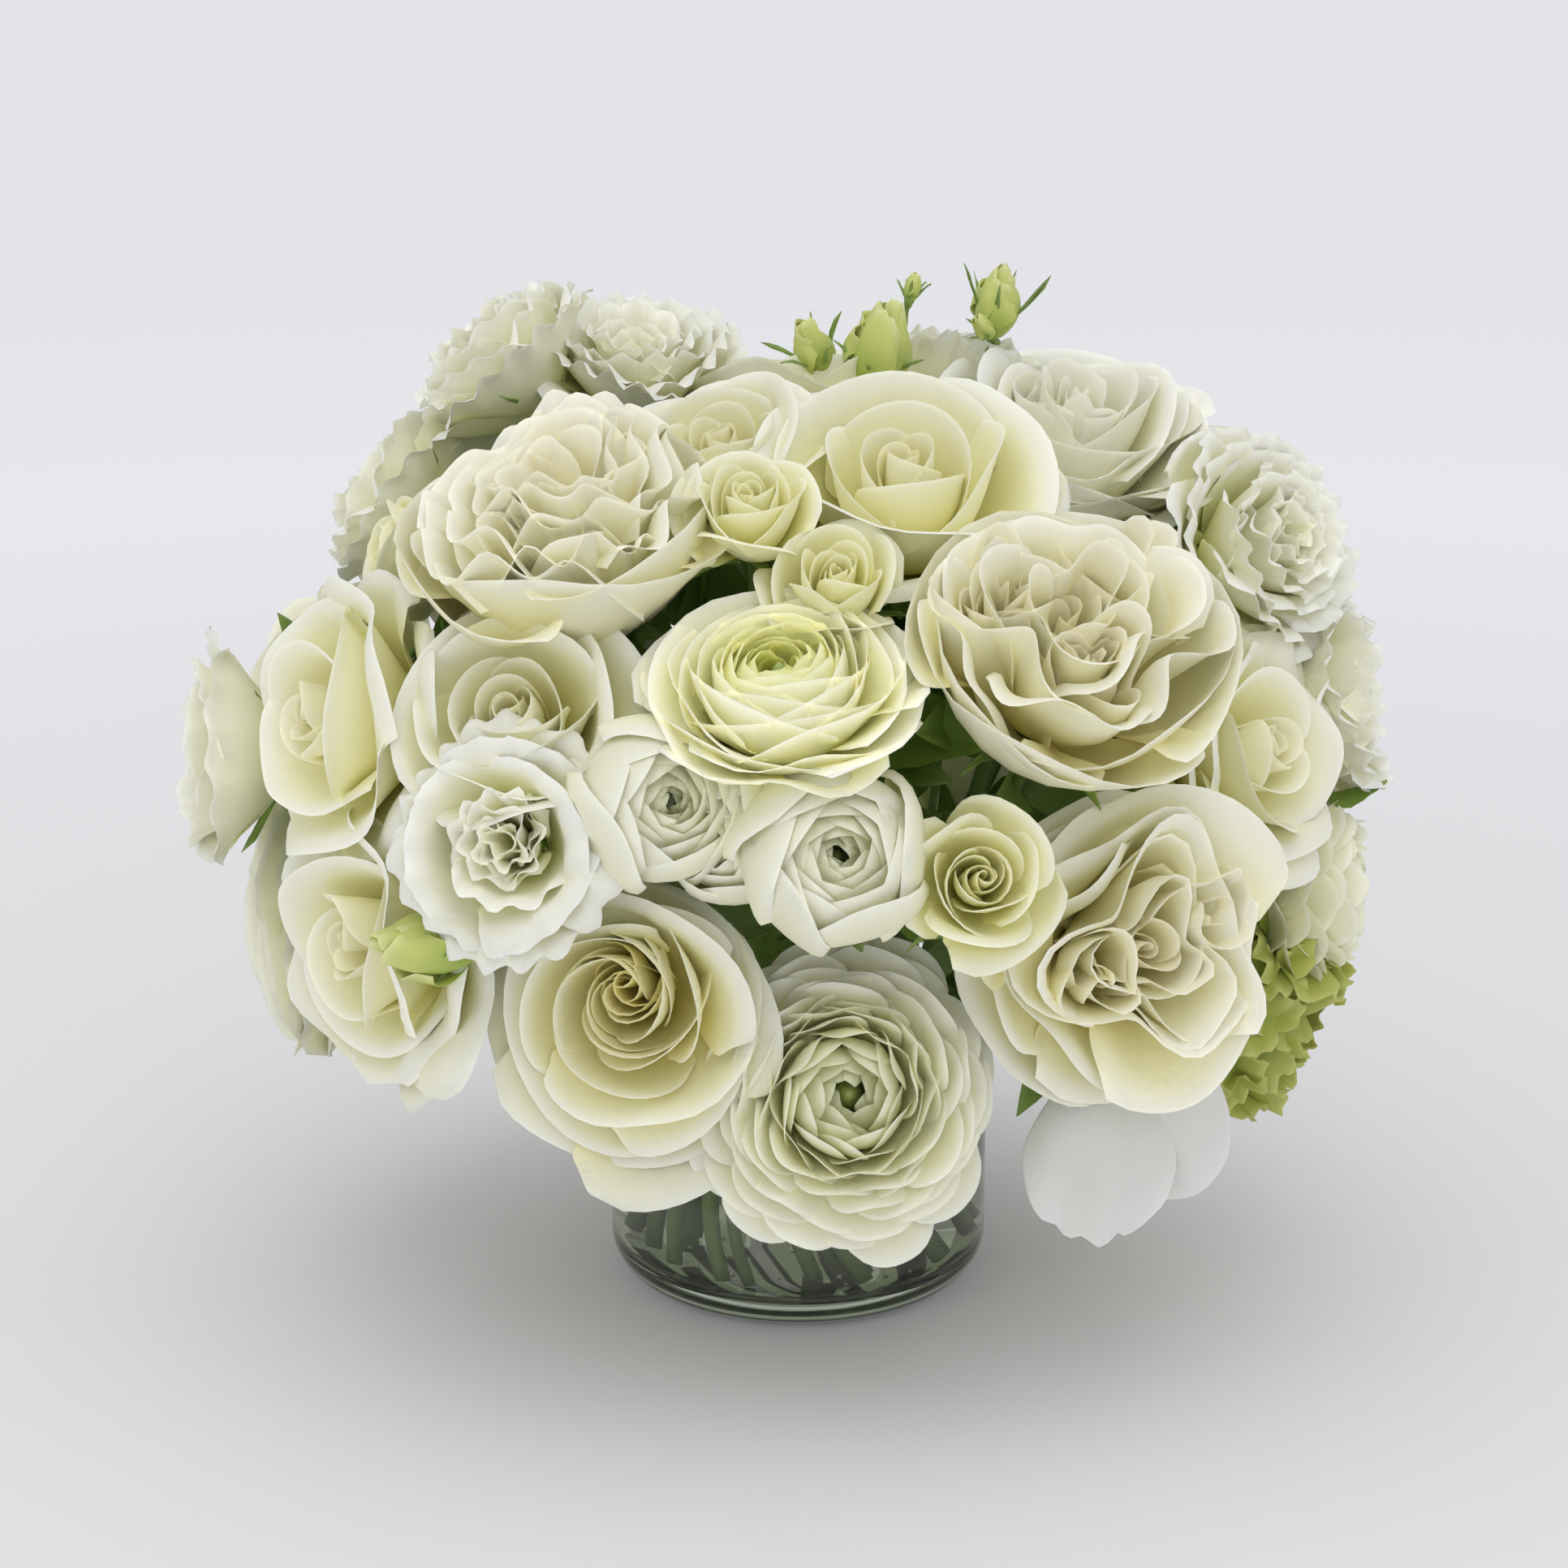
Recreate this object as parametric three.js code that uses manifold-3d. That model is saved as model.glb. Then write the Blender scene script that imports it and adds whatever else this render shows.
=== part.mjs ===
// A low round flower arrangement in a glass cylinder vase.
// Millimetres, +Z up. The origin is the middle of the vase's flat foot, and the front faces -Y.
// Bearings go round the vase in degrees: 0 front, 90 right, 180 back, -90 left. Rises are degrees up.
import * as THREE from "three";
import { mergeVertices } from "three/addons/utils/BufferGeometryUtils.js";
import Module from "manifold-3d";

const wasm = await Module();
wasm.setup();

// ---- driving dimensions -------------------------------------------------------------------------
const VASE_ACROSS = 120;
const VASE_HEIGHT = 80;
const GLASS_WALL = 3;
const GLASS_FOOT = 9;          // thickness of the glass under the water
const HEEL_RADIUS = 14;        // outer rounding between foot and wall
const WATER_LEVEL = 58;
const DOME_MIDDLE = new THREE.Vector3(-3, 0, 160);
const DOME_REACH = new THREE.Vector3(168, 135, 118);   // half sizes of the dome of bloom middles
const SEAT_GAP = 0.3;          // clearance between pieces that touch
const ROUND_SIDES = 36;        // sides of the vase and the water
const STEM_SIDES = 6;
const STEM_STEPS = 5;
const BLOOM_SIDES = 12;
const GATHER_HEIGHT = 85;      // where the stems of one bundle lean on each other
const GATHER_RING = 36;        // how far the outer bundles stand from the vase's axis
const GATHER_SPREAD = 2;       // how far each stem stands from the middle of its bundle there
const GATHER_TWIST = 65;       // degrees that the feet are turned from the mouth, as hand-spiralled stems are
const FOOT_RING = 34;
const FOOT_SPREAD = 8;
const NECK_LENGTH = 9;         // straight stem behind the calyx
const RIM_CLEARANCE = 10;      // how far above the rim an outer stem passes over it
const PETAL_THICKNESS = 3.2;   // of the two loose petals, their cupping included

// ---- kinds of flower ------------------------------------------------------------------------------
// profile: radius and height as shares of the bloom's half width and of its depth, calyx to face.
// branch: the flower grows on a side branch, which joins the bundle's other stems and has no foot.
const KINDS = {
  rose: {
    deep: 0.7, lobes: 5, ripple: 0.04, stem: 5, colour: 0xf3eedb,
    profile: [[0.12, -0.5], [0.42, -0.42], [0.8, -0.16], [1, 0.14], [0.9, 0.38], [0.5, 0.5], [0, 0.4]],
  },
  gardenRose: {
    deep: 0.64, lobes: 5, ripple: 0.06, stem: 5, colour: 0xf5ecd9,
    profile: [[0.12, -0.5], [0.45, -0.44], [0.84, -0.2], [1, 0.1], [0.94, 0.36], [0.55, 0.5], [0, 0.42]],
  },
  ranunculus: {
    deep: 0.6, lobes: 5, ripple: 0.02, stem: 4, colour: 0xf4f1dc,
    profile: [[0.1, -0.5], [0.5, -0.42], [0.9, -0.16], [1, 0.08], [0.86, 0.36], [0.48, 0.5], [0, 0.4]],
  },
  lisianthus: {
    deep: 0.66, lobes: 5, ripple: 0.07, stem: 3.6, branch: true, colour: 0xf7f6f0,
    profile: [[0.1, -0.5], [0.3, -0.36], [0.66, -0.1], [0.96, 0.2], [1, 0.36], [0.6, 0.5], [0, 0.38]],
  },
  sprayRose: {
    deep: 0.82, lobes: 5, ripple: 0.04, stem: 3.6, branch: true, colour: 0xf1efc8,
    profile: [[0.16, -0.5], [0.5, -0.42], [0.88, -0.16], [1, 0.1], [0.86, 0.36], [0.46, 0.5], [0, 0.42]],
  },
  bud: {
    deep: 1.35, lobes: 5, ripple: 0.05, stem: 2.6, branch: true, colour: 0xc4d67c,
    profile: [[0.24, -0.5], [0.7, -0.38], [1, -0.1], [0.84, 0.18], [0.42, 0.42], [0, 0.5]],
  },
  hydrangea: {
    deep: 0.5, lobes: 5, ripple: 0.09, stem: 4, colour: 0xc9d98a,
    profile: [[0.1, -0.5], [0.6, -0.34], [1, -0.06], [0.84, 0.28], [0.45, 0.46], [0, 0.5]],
  },
};

// ---- planting plan ---------------------------------------------------------------------------------
// at: bearing and rise of the bloom's middle on the dome, and how far it stands out of it (mm).
// faces: bearing and rise of the way the bloom looks. across: its width (mm).
const BLOOMS = [
  { name: "rose_top_centre", kind: "rose", at: [27, 64, -4], faces: [0, 48], across: 84 },
  { name: "rose_crown_left", kind: "rose", at: [-24, 73, -5], faces: [-25, 62], across: 62 },
  { name: "rose_crown_back", kind: "rose", at: [170, 78, -6], faces: [172, 74], across: 88 },
  { name: "garden_rose_top_right", kind: "gardenRose", at: [102, 59, 2], faces: [20, 68], across: 92 },
  { name: "garden_rose_top_left", kind: "gardenRose", at: [-33, 48, 0], faces: [-24, 38], across: 92 },
  { name: "garden_rose_centre_right", kind: "gardenRose", at: [31, 31, 0], faces: [16, 32], across: 92 },
  { name: "garden_rose_front_right", kind: "gardenRose", at: [35, -9, -1], faces: [22, 14], across: 94 },
  { name: "rose_left", kind: "rose", at: [-53, 19, 0], faces: [-60, 12], across: 84 },
  { name: "rose_middle_left", kind: "rose", at: [-29, 24, 0], faces: [-14, 42], across: 66 },
  { name: "rose_front_low_left", kind: "rose", at: [-16, -17, 0], faces: [-10, 14], across: 82 },
  { name: "rose_low_left", kind: "rose", at: [-46, -11, -2], faces: [-52, 6], across: 84 },
  { name: "rose_right", kind: "rose", at: [62, 14, -12], faces: [52, 24], across: 76 },
  { name: "ranunculus_centre", kind: "ranunculus", at: [-1, 30, 4], faces: [-5, 54], across: 80 },
  { name: "ranunculus_front_left", kind: "ranunculus", at: [-13, 15, 0], faces: [18, 12], across: 52 },
  { name: "ranunculus_tucked", kind: "ranunculus", at: [-6, 11, -9], faces: [-24, 2], across: 44 },
  { name: "ranunculus_front_centre", kind: "ranunculus", at: [4, 8, 3], faces: [8, 20], across: 56 },
  { name: "ranunculus_front_low", kind: "ranunculus", at: [6, -27, 4], faces: [4, 20], across: 86 },
  { name: "ranunculus_right", kind: "ranunculus", at: [84, -14, 0], faces: [80, 2], across: 76 },
  { name: "lisianthus_top_left", kind: "lisianthus", at: [-105, 61, 26], faces: [-95, 46], across: 64 },
  { name: "lisianthus_crown", kind: "lisianthus", at: [-122, 72, 15], faces: [12, 72], across: 62 },
  { name: "lisianthus_crown_back", kind: "lisianthus", at: [136, 60, 8], faces: [140, 54], across: 66 },
  { name: "lisianthus_left_shoulder", kind: "lisianthus", at: [-101, 44, 3], faces: [-106, 26], across: 62 },
  { name: "lisianthus_far_left", kind: "lisianthus", at: [-79, 7, 5], faces: [-76, 2], across: 68 },
  { name: "lisianthus_front_left", kind: "lisianthus", at: [-26, 8, 7], faces: [-14, 18], across: 64 },
  { name: "lisianthus_right", kind: "lisianthus", at: [80, 37, 12], faces: [48, 22], across: 72 },
  { name: "lisianthus_far_right", kind: "lisianthus", at: [90, 13, 3], faces: [78, 10], across: 66 },
  { name: "spray_rose_upper", kind: "sprayRose", at: [-6, 53, 8], faces: [0, 46], across: 40 },
  { name: "spray_rose_centre", kind: "sprayRose", at: [6, 44, 0], faces: [4, 50], across: 42 },
  { name: "spray_rose_left", kind: "sprayRose", at: [-74, 44, -6], faces: [-80, 16], across: 40 },
  { name: "spray_rose_front", kind: "sprayRose", at: [17, 4.5, 6], faces: [5, 24], across: 44 },
  { name: "rose_back_top", kind: "rose", at: [172, 46, 0], faces: [174, 44], across: 98 },
  { name: "rose_back_centre", kind: "rose", at: [173, 14, 0], faces: [174, 14], across: 96 },
  { name: "rose_back_left", kind: "rose", at: [-114, 6, -8], faces: [-114, 8], across: 92 },
  { name: "rose_back_low_right", kind: "rose", at: [116, -18, 0], faces: [118, -4], across: 92 },
  { name: "garden_rose_back_left", kind: "gardenRose", at: [-150, 31, 0], faces: [-150, 28], across: 98 },
  { name: "garden_rose_back_right", kind: "gardenRose", at: [123, 32, 0], faces: [124, 30], across: 100 },
  { name: "garden_rose_back_low", kind: "gardenRose", at: [-167, -19, 0], faces: [-168, -4], across: 96 },
  { name: "rose_back_shoulder", kind: "rose", at: [-121, 43, 0], faces: [-121, 40], across: 86 },
  { name: "lisianthus_back_left", kind: "lisianthus", at: [-146, -1, 0], faces: [-146, 2], across: 72 },
  { name: "ranunculus_back_right", kind: "ranunculus", at: [143, 6, 0], faces: [143, 6], across: 86 },
  { name: "ranunculus_back_low", kind: "ranunculus", at: [154, -26, 0], faces: [154, -8], across: 80 },
  { name: "ranunculus_low_left", kind: "ranunculus", at: [-94, -24, -3], faces: [-94, -6], across: 82 },
  { name: "rose_back_low_left", kind: "rose", at: [-127, -22, 0], faces: [-128, -6], across: 86 },
  { name: "hydrangea_right", kind: "hydrangea", at: [80, -32, 2], faces: [66, -18], across: 58 },
  { name: "bud_round", kind: "bud", at: [158, 84, 16], faces: [-60, 62], across: 14 },
  { name: "bud_opening", kind: "bud", at: [117, 80, 18], faces: [40, 76], across: 22 },
  { name: "bud_tall", kind: "bud", at: [114, 69, 38], faces: [60, 80], across: 17 },
  { name: "bud_green_left", kind: "bud", at: [-34, -5, 14], faces: [-80, 4], across: 21 },
];

const DEGREE = Math.PI / 180;
const WALL_OUTSIDE = VASE_ACROSS / 2;
const WALL_INSIDE = WALL_OUTSIDE - GLASS_WALL;

function direction(bearing, rise) {
  const flat = Math.cos(rise * DEGREE);
  return new THREE.Vector3(
    flat * Math.sin(bearing * DEGREE), -flat * Math.cos(bearing * DEGREE), Math.sin(rise * DEGREE));
}

function domePoint([bearing, rise, out]) {
  const way = direction(bearing, rise);
  const point = DOME_MIDDLE.clone().add(way.clone().multiply(DOME_REACH));
  return point.add(way.divide(DOME_REACH).normalize().multiplyScalar(out));
}

// ---- solids: join and cut ----------------------------------------------------------------------------
function toSolid(geometry) {
  const bare = geometry.clone();
  bare.deleteAttribute("normal");
  bare.deleteAttribute("uv");
  const merged = mergeVertices(bare, 1e-4);
  return new wasm.Manifold(new wasm.Mesh({
    numProp: 3,
    vertProperties: new Float32Array(merged.attributes.position.array),
    triVerts: new Uint32Array(merged.index.array),
  }));
}

function toGeometry(solid) {
  const mesh = solid.getMesh();
  const geometry = new THREE.BufferGeometry();
  geometry.setAttribute("position", new THREE.BufferAttribute(mesh.vertProperties, 3));
  geometry.setIndex(new THREE.BufferAttribute(mesh.triVerts, 1));
  return geometry;
}

function overlaps(a, b) {
  const boxA = a.boundingBox();
  const boxB = b.boundingBox();
  const apart = [0, 1, 2].some((i) => boxA.min[i] > boxB.max[i] || boxB.min[i] > boxA.max[i]);
  return !apart && a.intersect(b).volume() > 0;
}

// A block that fills the side of a plane that its normal points to.
function halfSpace(point, normal) {
  const reach = 300;
  const block = new THREE.BoxGeometry(reach, reach, reach);
  block.translate(0, 0, reach / 2);
  block.applyQuaternion(new THREE.Quaternion().setFromUnitVectors(new THREE.Vector3(0, 0, 1), normal));
  block.translate(point.x, point.y, point.z);
  return toSolid(block);
}

// ---- blooms ------------------------------------------------------------------------------------------
function bloomSolid(bloom) {
  const kind = KINDS[bloom.kind];
  const half = bloom.across / 2;
  const deep = bloom.across * kind.deep;
  const outline = [new THREE.Vector2(0, kind.profile[0][1] * deep)];
  for (const [radius, height] of kind.profile) {
    outline.push(new THREE.Vector2(radius * half, height * deep));
  }
  const geometry = new THREE.LatheGeometry(outline, BLOOM_SIDES);
  geometry.rotateX(Math.PI / 2);
  // Five soft lobes, one for each outer petal.
  const position = geometry.attributes.position;
  for (let i = 0; i < position.count; i++) {
    const x = position.getX(i);
    const y = position.getY(i);
    const share = Math.hypot(x, y) / half;
    const swell = 1 + kind.ripple * share * Math.cos(kind.lobes * Math.atan2(y, x));
    position.setXY(i, x * swell, y * swell);
  }
  const turn = new THREE.Quaternion().setFromUnitVectors(new THREE.Vector3(0, 0, 1), bloom.way);
  geometry.applyQuaternion(turn);
  geometry.translate(bloom.middle.x, bloom.middle.y, bloom.middle.z);
  return toSolid(geometry);
}

// Half width of a bloom seen along a direction, for sharing the room between two neighbours.
function reachAlong(bloom, way) {
  const cosine = way.dot(bloom.way);
  const half = bloom.across / 2;
  const deep = half * KINDS[bloom.kind].deep;
  return Math.hypot(half * Math.sqrt(1 - cosine * cosine), deep * cosine);
}

// Petals of neighbours press flat against each other: both blooms are cut back to one plane.
function pressTogether(a, b) {
  if (!overlaps(a.solid, b.solid)) return;
  const between = b.middle.clone().sub(a.middle);
  const distance = between.length();
  const way = between.normalize();
  const reachA = reachAlong(a, way);
  const share = reachA / (reachA + reachAlong(b, way));
  const meeting = a.middle.clone().addScaledVector(way, distance * share);
  const step = way.clone().multiplyScalar(SEAT_GAP / 2);
  a.solid = a.solid.subtract(halfSpace(meeting.clone().sub(step), way));
  b.solid = b.solid.subtract(halfSpace(meeting.clone().add(step), way.clone().negate()));
}

for (const bloom of BLOOMS) {
  bloom.middle = domePoint(bloom.at);
  bloom.way = direction(...bloom.faces);
  const half = 0.5 * bloom.across * KINDS[bloom.kind].deep;
  bloom.seat = bloom.middle.clone().addScaledVector(bloom.way, -half - SEAT_GAP);
  bloom.solid = bloomSolid(bloom);
}
for (let i = 0; i < BLOOMS.length; i++) {
  for (let j = i + 1; j < BLOOMS.length; j++) pressTogether(BLOOMS[i], BLOOMS[j]);
}

// Two loose outer petals of the right front garden rose hang below it.
function droopingPetals() {
  const outline = new THREE.Shape();
  outline.moveTo(-12, 30);
  outline.bezierCurveTo(-34, 16, -34, -24, -14, -34);
  outline.bezierCurveTo(-4, -36, 0, -28, 6, -30);
  outline.bezierCurveTo(30, -24, 36, 6, 14, 30);
  const geometry = new THREE.ExtrudeGeometry(outline, {
    depth: PETAL_THICKNESS, bevelEnabled: false, curveSegments: 5,
  });
  // Upright, leaning back under the bloom and turned a little to the right.
  geometry.rotateX((90 - 16) * DEGREE);
  geometry.rotateZ(12 * DEGREE);
  const host = BLOOMS.find((bloom) => bloom.name === "garden_rose_front_right");
  geometry.translate(host.middle.x, host.middle.y + 9, host.middle.z - 56);
  // They grow out from under the bloom, so the part inside it is cut away.
  const clear = bloomSolid({ ...host, across: host.across + 2 * SEAT_GAP });
  return toSolid(geometry).subtract(clear);
}

// ---- stems ---------------------------------------------------------------------------------------------
const BUNDLES = [
  { name: "stems_front", bearing: 0 }, { name: "stems_front_right", bearing: 45 },
  { name: "stems_right", bearing: 90 }, { name: "stems_back_right", bearing: 135 },
  { name: "stems_back", bearing: 180 }, { name: "stems_back_left", bearing: -135 },
  { name: "stems_left", bearing: -90 }, { name: "stems_front_left", bearing: -45 },
  { name: "stems_middle", bearing: null },
];
const MIDDLE_BUNDLE_REACH = 52;   // blooms nearer to the axis than this stand in the middle bundle

function bundleOf(bloom) {
  const { x, y } = bloom.middle;
  if (Math.hypot(x, y) < MIDDLE_BUNDLE_REACH) return BUNDLES.at(-1);
  const bearing = Math.atan2(x, -y) / DEGREE;
  const turnBetween = (one, other) => Math.abs(((one - other + 540) % 360) - 180);
  const ring = BUNDLES.slice(0, -1);
  return ring.reduce((best, bundle) =>
    turnBetween(bundle.bearing, bearing) < turnBetween(best.bearing, bearing) ? bundle : best);
}

// The stem leaves the calyx straight back, leans on its bundle in the vase's mouth and ends on the glass.
function stemCurve(bloom, bundle, index) {
  const onRing = bundle.bearing === null ? 0 : 1;
  const around = (index / bundle.blooms.length) * 360;
  const gather = direction(bundle.bearing ?? 0, 0).multiplyScalar(GATHER_RING * onRing);
  gather.addScaledVector(direction(around, 0), GATHER_SPREAD).setZ(GATHER_HEIGHT);
  const neck = bloom.seat.clone().addScaledVector(bloom.way, -NECK_LENGTH);
  const bend = neck.clone().lerp(gather, 0.6);
  bend.z = Math.max(bend.z, VASE_HEIGHT + RIM_CLEARANCE);
  const points = [bloom.seat, neck, bend, gather];
  if (!KINDS[bloom.kind].branch) {
    const foot = direction((bundle.bearing ?? 0) + GATHER_TWIST, 0).multiplyScalar(FOOT_RING * onRing);
    foot.addScaledVector(direction(around + GATHER_TWIST, 0), FOOT_SPREAD).setZ(GLASS_FOOT);
    const slant = Math.hypot(foot.x - gather.x, foot.y - gather.y) / foot.distanceTo(gather);
    foot.z += SEAT_GAP + slant * KINDS[bloom.kind].stem / 2;
    points.push(foot);
  }
  return new THREE.CatmullRomCurve3(points, false, "centripetal");
}

function tube(curve, diameter) {
  const section = new THREE.Shape();
  for (let i = 0; i < STEM_SIDES; i++) {
    const angle = (i / STEM_SIDES) * 2 * Math.PI;
    const x = (diameter / 2) * Math.cos(angle);
    const y = (diameter / 2) * Math.sin(angle);
    if (i === 0) section.moveTo(x, y);
    else section.lineTo(x, y);
  }
  section.closePath();
  return new THREE.ExtrudeGeometry(section, { steps: STEM_STEPS, extrudePath: curve, bevelEnabled: false });
}

for (const bundle of BUNDLES) bundle.blooms = BLOOMS.filter((bloom) => bundleOf(bloom) === bundle);
for (const bundle of BUNDLES) {
  bundle.blooms.forEach((bloom, index) => {
    const curve = stemCurve(bloom, bundle, index);
    const width = KINDS[bloom.kind].stem;
    const stem = toSolid(tube(curve, width));
    const clear = toSolid(tube(curve, width + 2 * SEAT_GAP));
    bundle.solid = bundle.solid ? bundle.solid.add(stem) : stem;
    bundle.clear = bundle.clear ? bundle.clear.add(clear) : clear;
  });
}

// ---- vase and water ------------------------------------------------------------------------------------
// Quarter circle from the foot to the wall, as points for a lathe outline.
function heel(wallRadius, footHeight, radius, steps) {
  const points = [];
  for (let i = 0; i <= steps; i++) {
    const angle = (i / steps) * (Math.PI / 2);
    points.push(new THREE.Vector2(
      wallRadius - radius + radius * Math.sin(angle), footHeight + radius * (1 - Math.cos(angle))));
  }
  return points;
}

const INNER_HEEL = HEEL_RADIUS - 5;
function vaseGeometry() {
  const outline = [
    new THREE.Vector2(0, 0),
    ...heel(WALL_OUTSIDE, 0, HEEL_RADIUS, 4),
    new THREE.Vector2(WALL_OUTSIDE, VASE_HEIGHT - 1),
    new THREE.Vector2(WALL_OUTSIDE - 1, VASE_HEIGHT),
    new THREE.Vector2(WALL_INSIDE + 1, VASE_HEIGHT),
    new THREE.Vector2(WALL_INSIDE, VASE_HEIGHT - 1),
    ...heel(WALL_INSIDE, GLASS_FOOT, INNER_HEEL, 3).reverse(),
    new THREE.Vector2(0, GLASS_FOOT),
  ];
  return new THREE.LatheGeometry(outline, ROUND_SIDES).rotateX(Math.PI / 2);
}

function waterGeometry() {
  const bottom = GLASS_FOOT + SEAT_GAP;
  const outline = [
    new THREE.Vector2(0, bottom),
    ...heel(WALL_INSIDE - SEAT_GAP, bottom, INNER_HEEL, 3),
    new THREE.Vector2(WALL_INSIDE - SEAT_GAP, WATER_LEVEL),
    new THREE.Vector2(0, WATER_LEVEL),
  ];
  return new THREE.LatheGeometry(outline, ROUND_SIDES).rotateX(Math.PI / 2);
}

// ---- assembly ------------------------------------------------------------------------------------------
const finish = (color, roughness) => new THREE.MeshStandardMaterial({ color, roughness, metalness: 0 });
const GLASS = finish(0xdfe8e4, 0.05);
const WATER = finish(0xcfdcd6, 0.02);
const STEM_GREEN = finish(0x5d7a3a, 0.6);
const PETAL_ROUGHNESS = 0.7;

const arrangement = new THREE.Group();
function place(name, geometry, material) {
  const mesh = new THREE.Mesh(geometry, material);
  mesh.name = name;
  arrangement.add(mesh);
}

place("glass_vase", vaseGeometry(), GLASS);

let water = toSolid(waterGeometry());
for (const bundle of BUNDLES) water = water.subtract(bundle.clear);
place("water", toGeometry(water), WATER);

for (const bundle of BUNDLES) place(bundle.name, toGeometry(bundle.solid), STEM_GREEN);

for (const bloom of BLOOMS) {
  for (const bundle of BUNDLES) {
    if (overlaps(bloom.solid, bundle.clear)) bloom.solid = bloom.solid.subtract(bundle.clear);
  }
  place(bloom.name, toGeometry(bloom.solid), finish(KINDS[bloom.kind].colour, PETAL_ROUGHNESS));
}
place("drooping_petals", toGeometry(droopingPetals()), finish(0xf6f4ea, PETAL_ROUGHNESS));

export default arrangement;
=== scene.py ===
# %% [markdown]
# # White flowers in a glass cylinder vase
# The real thing is a low, tight dome of roses, garden roses, ranunculus, lisianthus and spray roses.
# The florist spirals the stems in the hand and stands them in a small glass cylinder of water.
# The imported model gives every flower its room. This lesson fills that room with real petals.

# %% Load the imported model
import math

import bpy
import numpy as np
from mathutils import Matrix, Vector


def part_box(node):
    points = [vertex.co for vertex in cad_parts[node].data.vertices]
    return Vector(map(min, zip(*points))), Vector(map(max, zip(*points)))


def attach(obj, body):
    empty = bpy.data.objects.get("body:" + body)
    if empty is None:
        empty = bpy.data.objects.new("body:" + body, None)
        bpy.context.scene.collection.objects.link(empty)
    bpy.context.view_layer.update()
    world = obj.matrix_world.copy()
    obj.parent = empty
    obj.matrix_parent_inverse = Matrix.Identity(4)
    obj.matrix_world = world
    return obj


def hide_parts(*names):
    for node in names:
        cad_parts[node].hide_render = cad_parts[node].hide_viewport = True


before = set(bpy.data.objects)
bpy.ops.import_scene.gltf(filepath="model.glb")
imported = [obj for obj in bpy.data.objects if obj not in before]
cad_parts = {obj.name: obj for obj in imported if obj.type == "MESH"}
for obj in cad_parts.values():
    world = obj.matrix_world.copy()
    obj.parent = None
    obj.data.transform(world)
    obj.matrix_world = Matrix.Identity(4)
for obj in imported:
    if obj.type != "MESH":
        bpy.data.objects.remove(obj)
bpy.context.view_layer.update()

scene = bpy.context.scene
print("packed nodes:", len(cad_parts))

# %% [markdown]
# ## Camera
# A product camera looks slightly down on a table piece, with a long lens so that the dome isn't
# stretched. The camera could be aimed by a constraint, but a place and a pitch as plain numbers are
# easier to read.

# %% Camera
CAMERA_PLACE = (-0.0045, -0.950, 0.423)     # metres
CAMERA_PITCH = 15.5                         # degrees below the horizon
CAMERA_LENS, CAMERA_SENSOR = 72.84, 36      # mm
CAMERA_NEAR, CAMERA_FAR = 0.05, 60          # metres
EXPOSURE, GAMMA = -0.40, 1.08               # white petals stay below full white, with soft shadows
DIFFUSE_BOUNCES = 8                         # light between white petals bounces many times

camera = bpy.data.objects.new("camera", bpy.data.cameras.new("camera"))
scene.collection.objects.link(camera)
camera.location = CAMERA_PLACE
camera.rotation_euler = (math.radians(90 - CAMERA_PITCH), 0, 0)
camera.data.lens, camera.data.sensor_width = CAMERA_LENS, CAMERA_SENSOR
camera.data.clip_start, camera.data.clip_end = CAMERA_NEAR, CAMERA_FAR
scene.camera = camera
scene.view_settings.view_transform = "Standard"
scene.view_settings.exposure, scene.view_settings.gamma = EXPOSURE, GAMMA
scene.cycles.diffuse_bounces = DIFFUSE_BOUNCES
print("camera distance, m:", round(Vector(CAMERA_PLACE).length, 3))

# %% [markdown]
# ## Helpers for materials
# A material is a tree of nodes. Drawing it by hand in the shader editor works too, but a tree made in
# code can be read from top to bottom. These helpers make one node in one line, so that an input takes
# a plain value or the output of another node in the same way.

# %% Node helpers
def set_inputs(tree, node, inputs):
    """Gives inputs of a node their values, or links them to the outputs that feed them."""
    for key, value in inputs.items():
        if isinstance(value, bpy.types.NodeSocket):
            tree.links.new(value, node.inputs[key])
        else:
            node.inputs[key].default_value = value
    return node


def add_node(tree, kind, inputs=None, **settings):
    """A node with its settings and its inputs."""
    node = tree.nodes.new(kind)
    for key, value in settings.items():
        setattr(node, key, value)
    return set_inputs(tree, node, inputs or {})


def math_node(tree, operation, a, b=0.0):
    return add_node(tree, "ShaderNodeMath", {0: a, 1: b}, operation=operation).outputs[0]


def mix_node(tree, factor, a, b, blend="MIX"):
    """Mix of two colours. In a Mix node, sockets 6 and 7 take the colours and 2 gives the result."""
    node = add_node(tree, "ShaderNodeMix", {0: factor, 6: a, 7: b}, data_type="RGBA", blend_type=blend)
    return node.outputs[2]


def smooth_between(tree, value, low, high):
    """0 below low, 1 above high and smooth between, as a Map Range node."""
    return add_node(tree, "ShaderNodeMapRange", {"Value": value, "From Min": low, "From Max": high},
                    interpolation_type="SMOOTHSTEP").outputs["Result"]


def spread(tree, value, low, high):
    """A value between 0 and 1, stretched to run from low to high."""
    return add_node(tree, "ShaderNodeMapRange", {
        "Value": value, "To Min": low, "To Max": high}).outputs["Result"]


def new_material(name):
    """A material with its node tree and its Principled shader."""
    material = bpy.data.materials.new(name)
    material.use_nodes = True
    return material, material.node_tree, material.node_tree.nodes["Principled BSDF"]


print("materials that came with the packed model:", len(bpy.data.materials))
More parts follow.
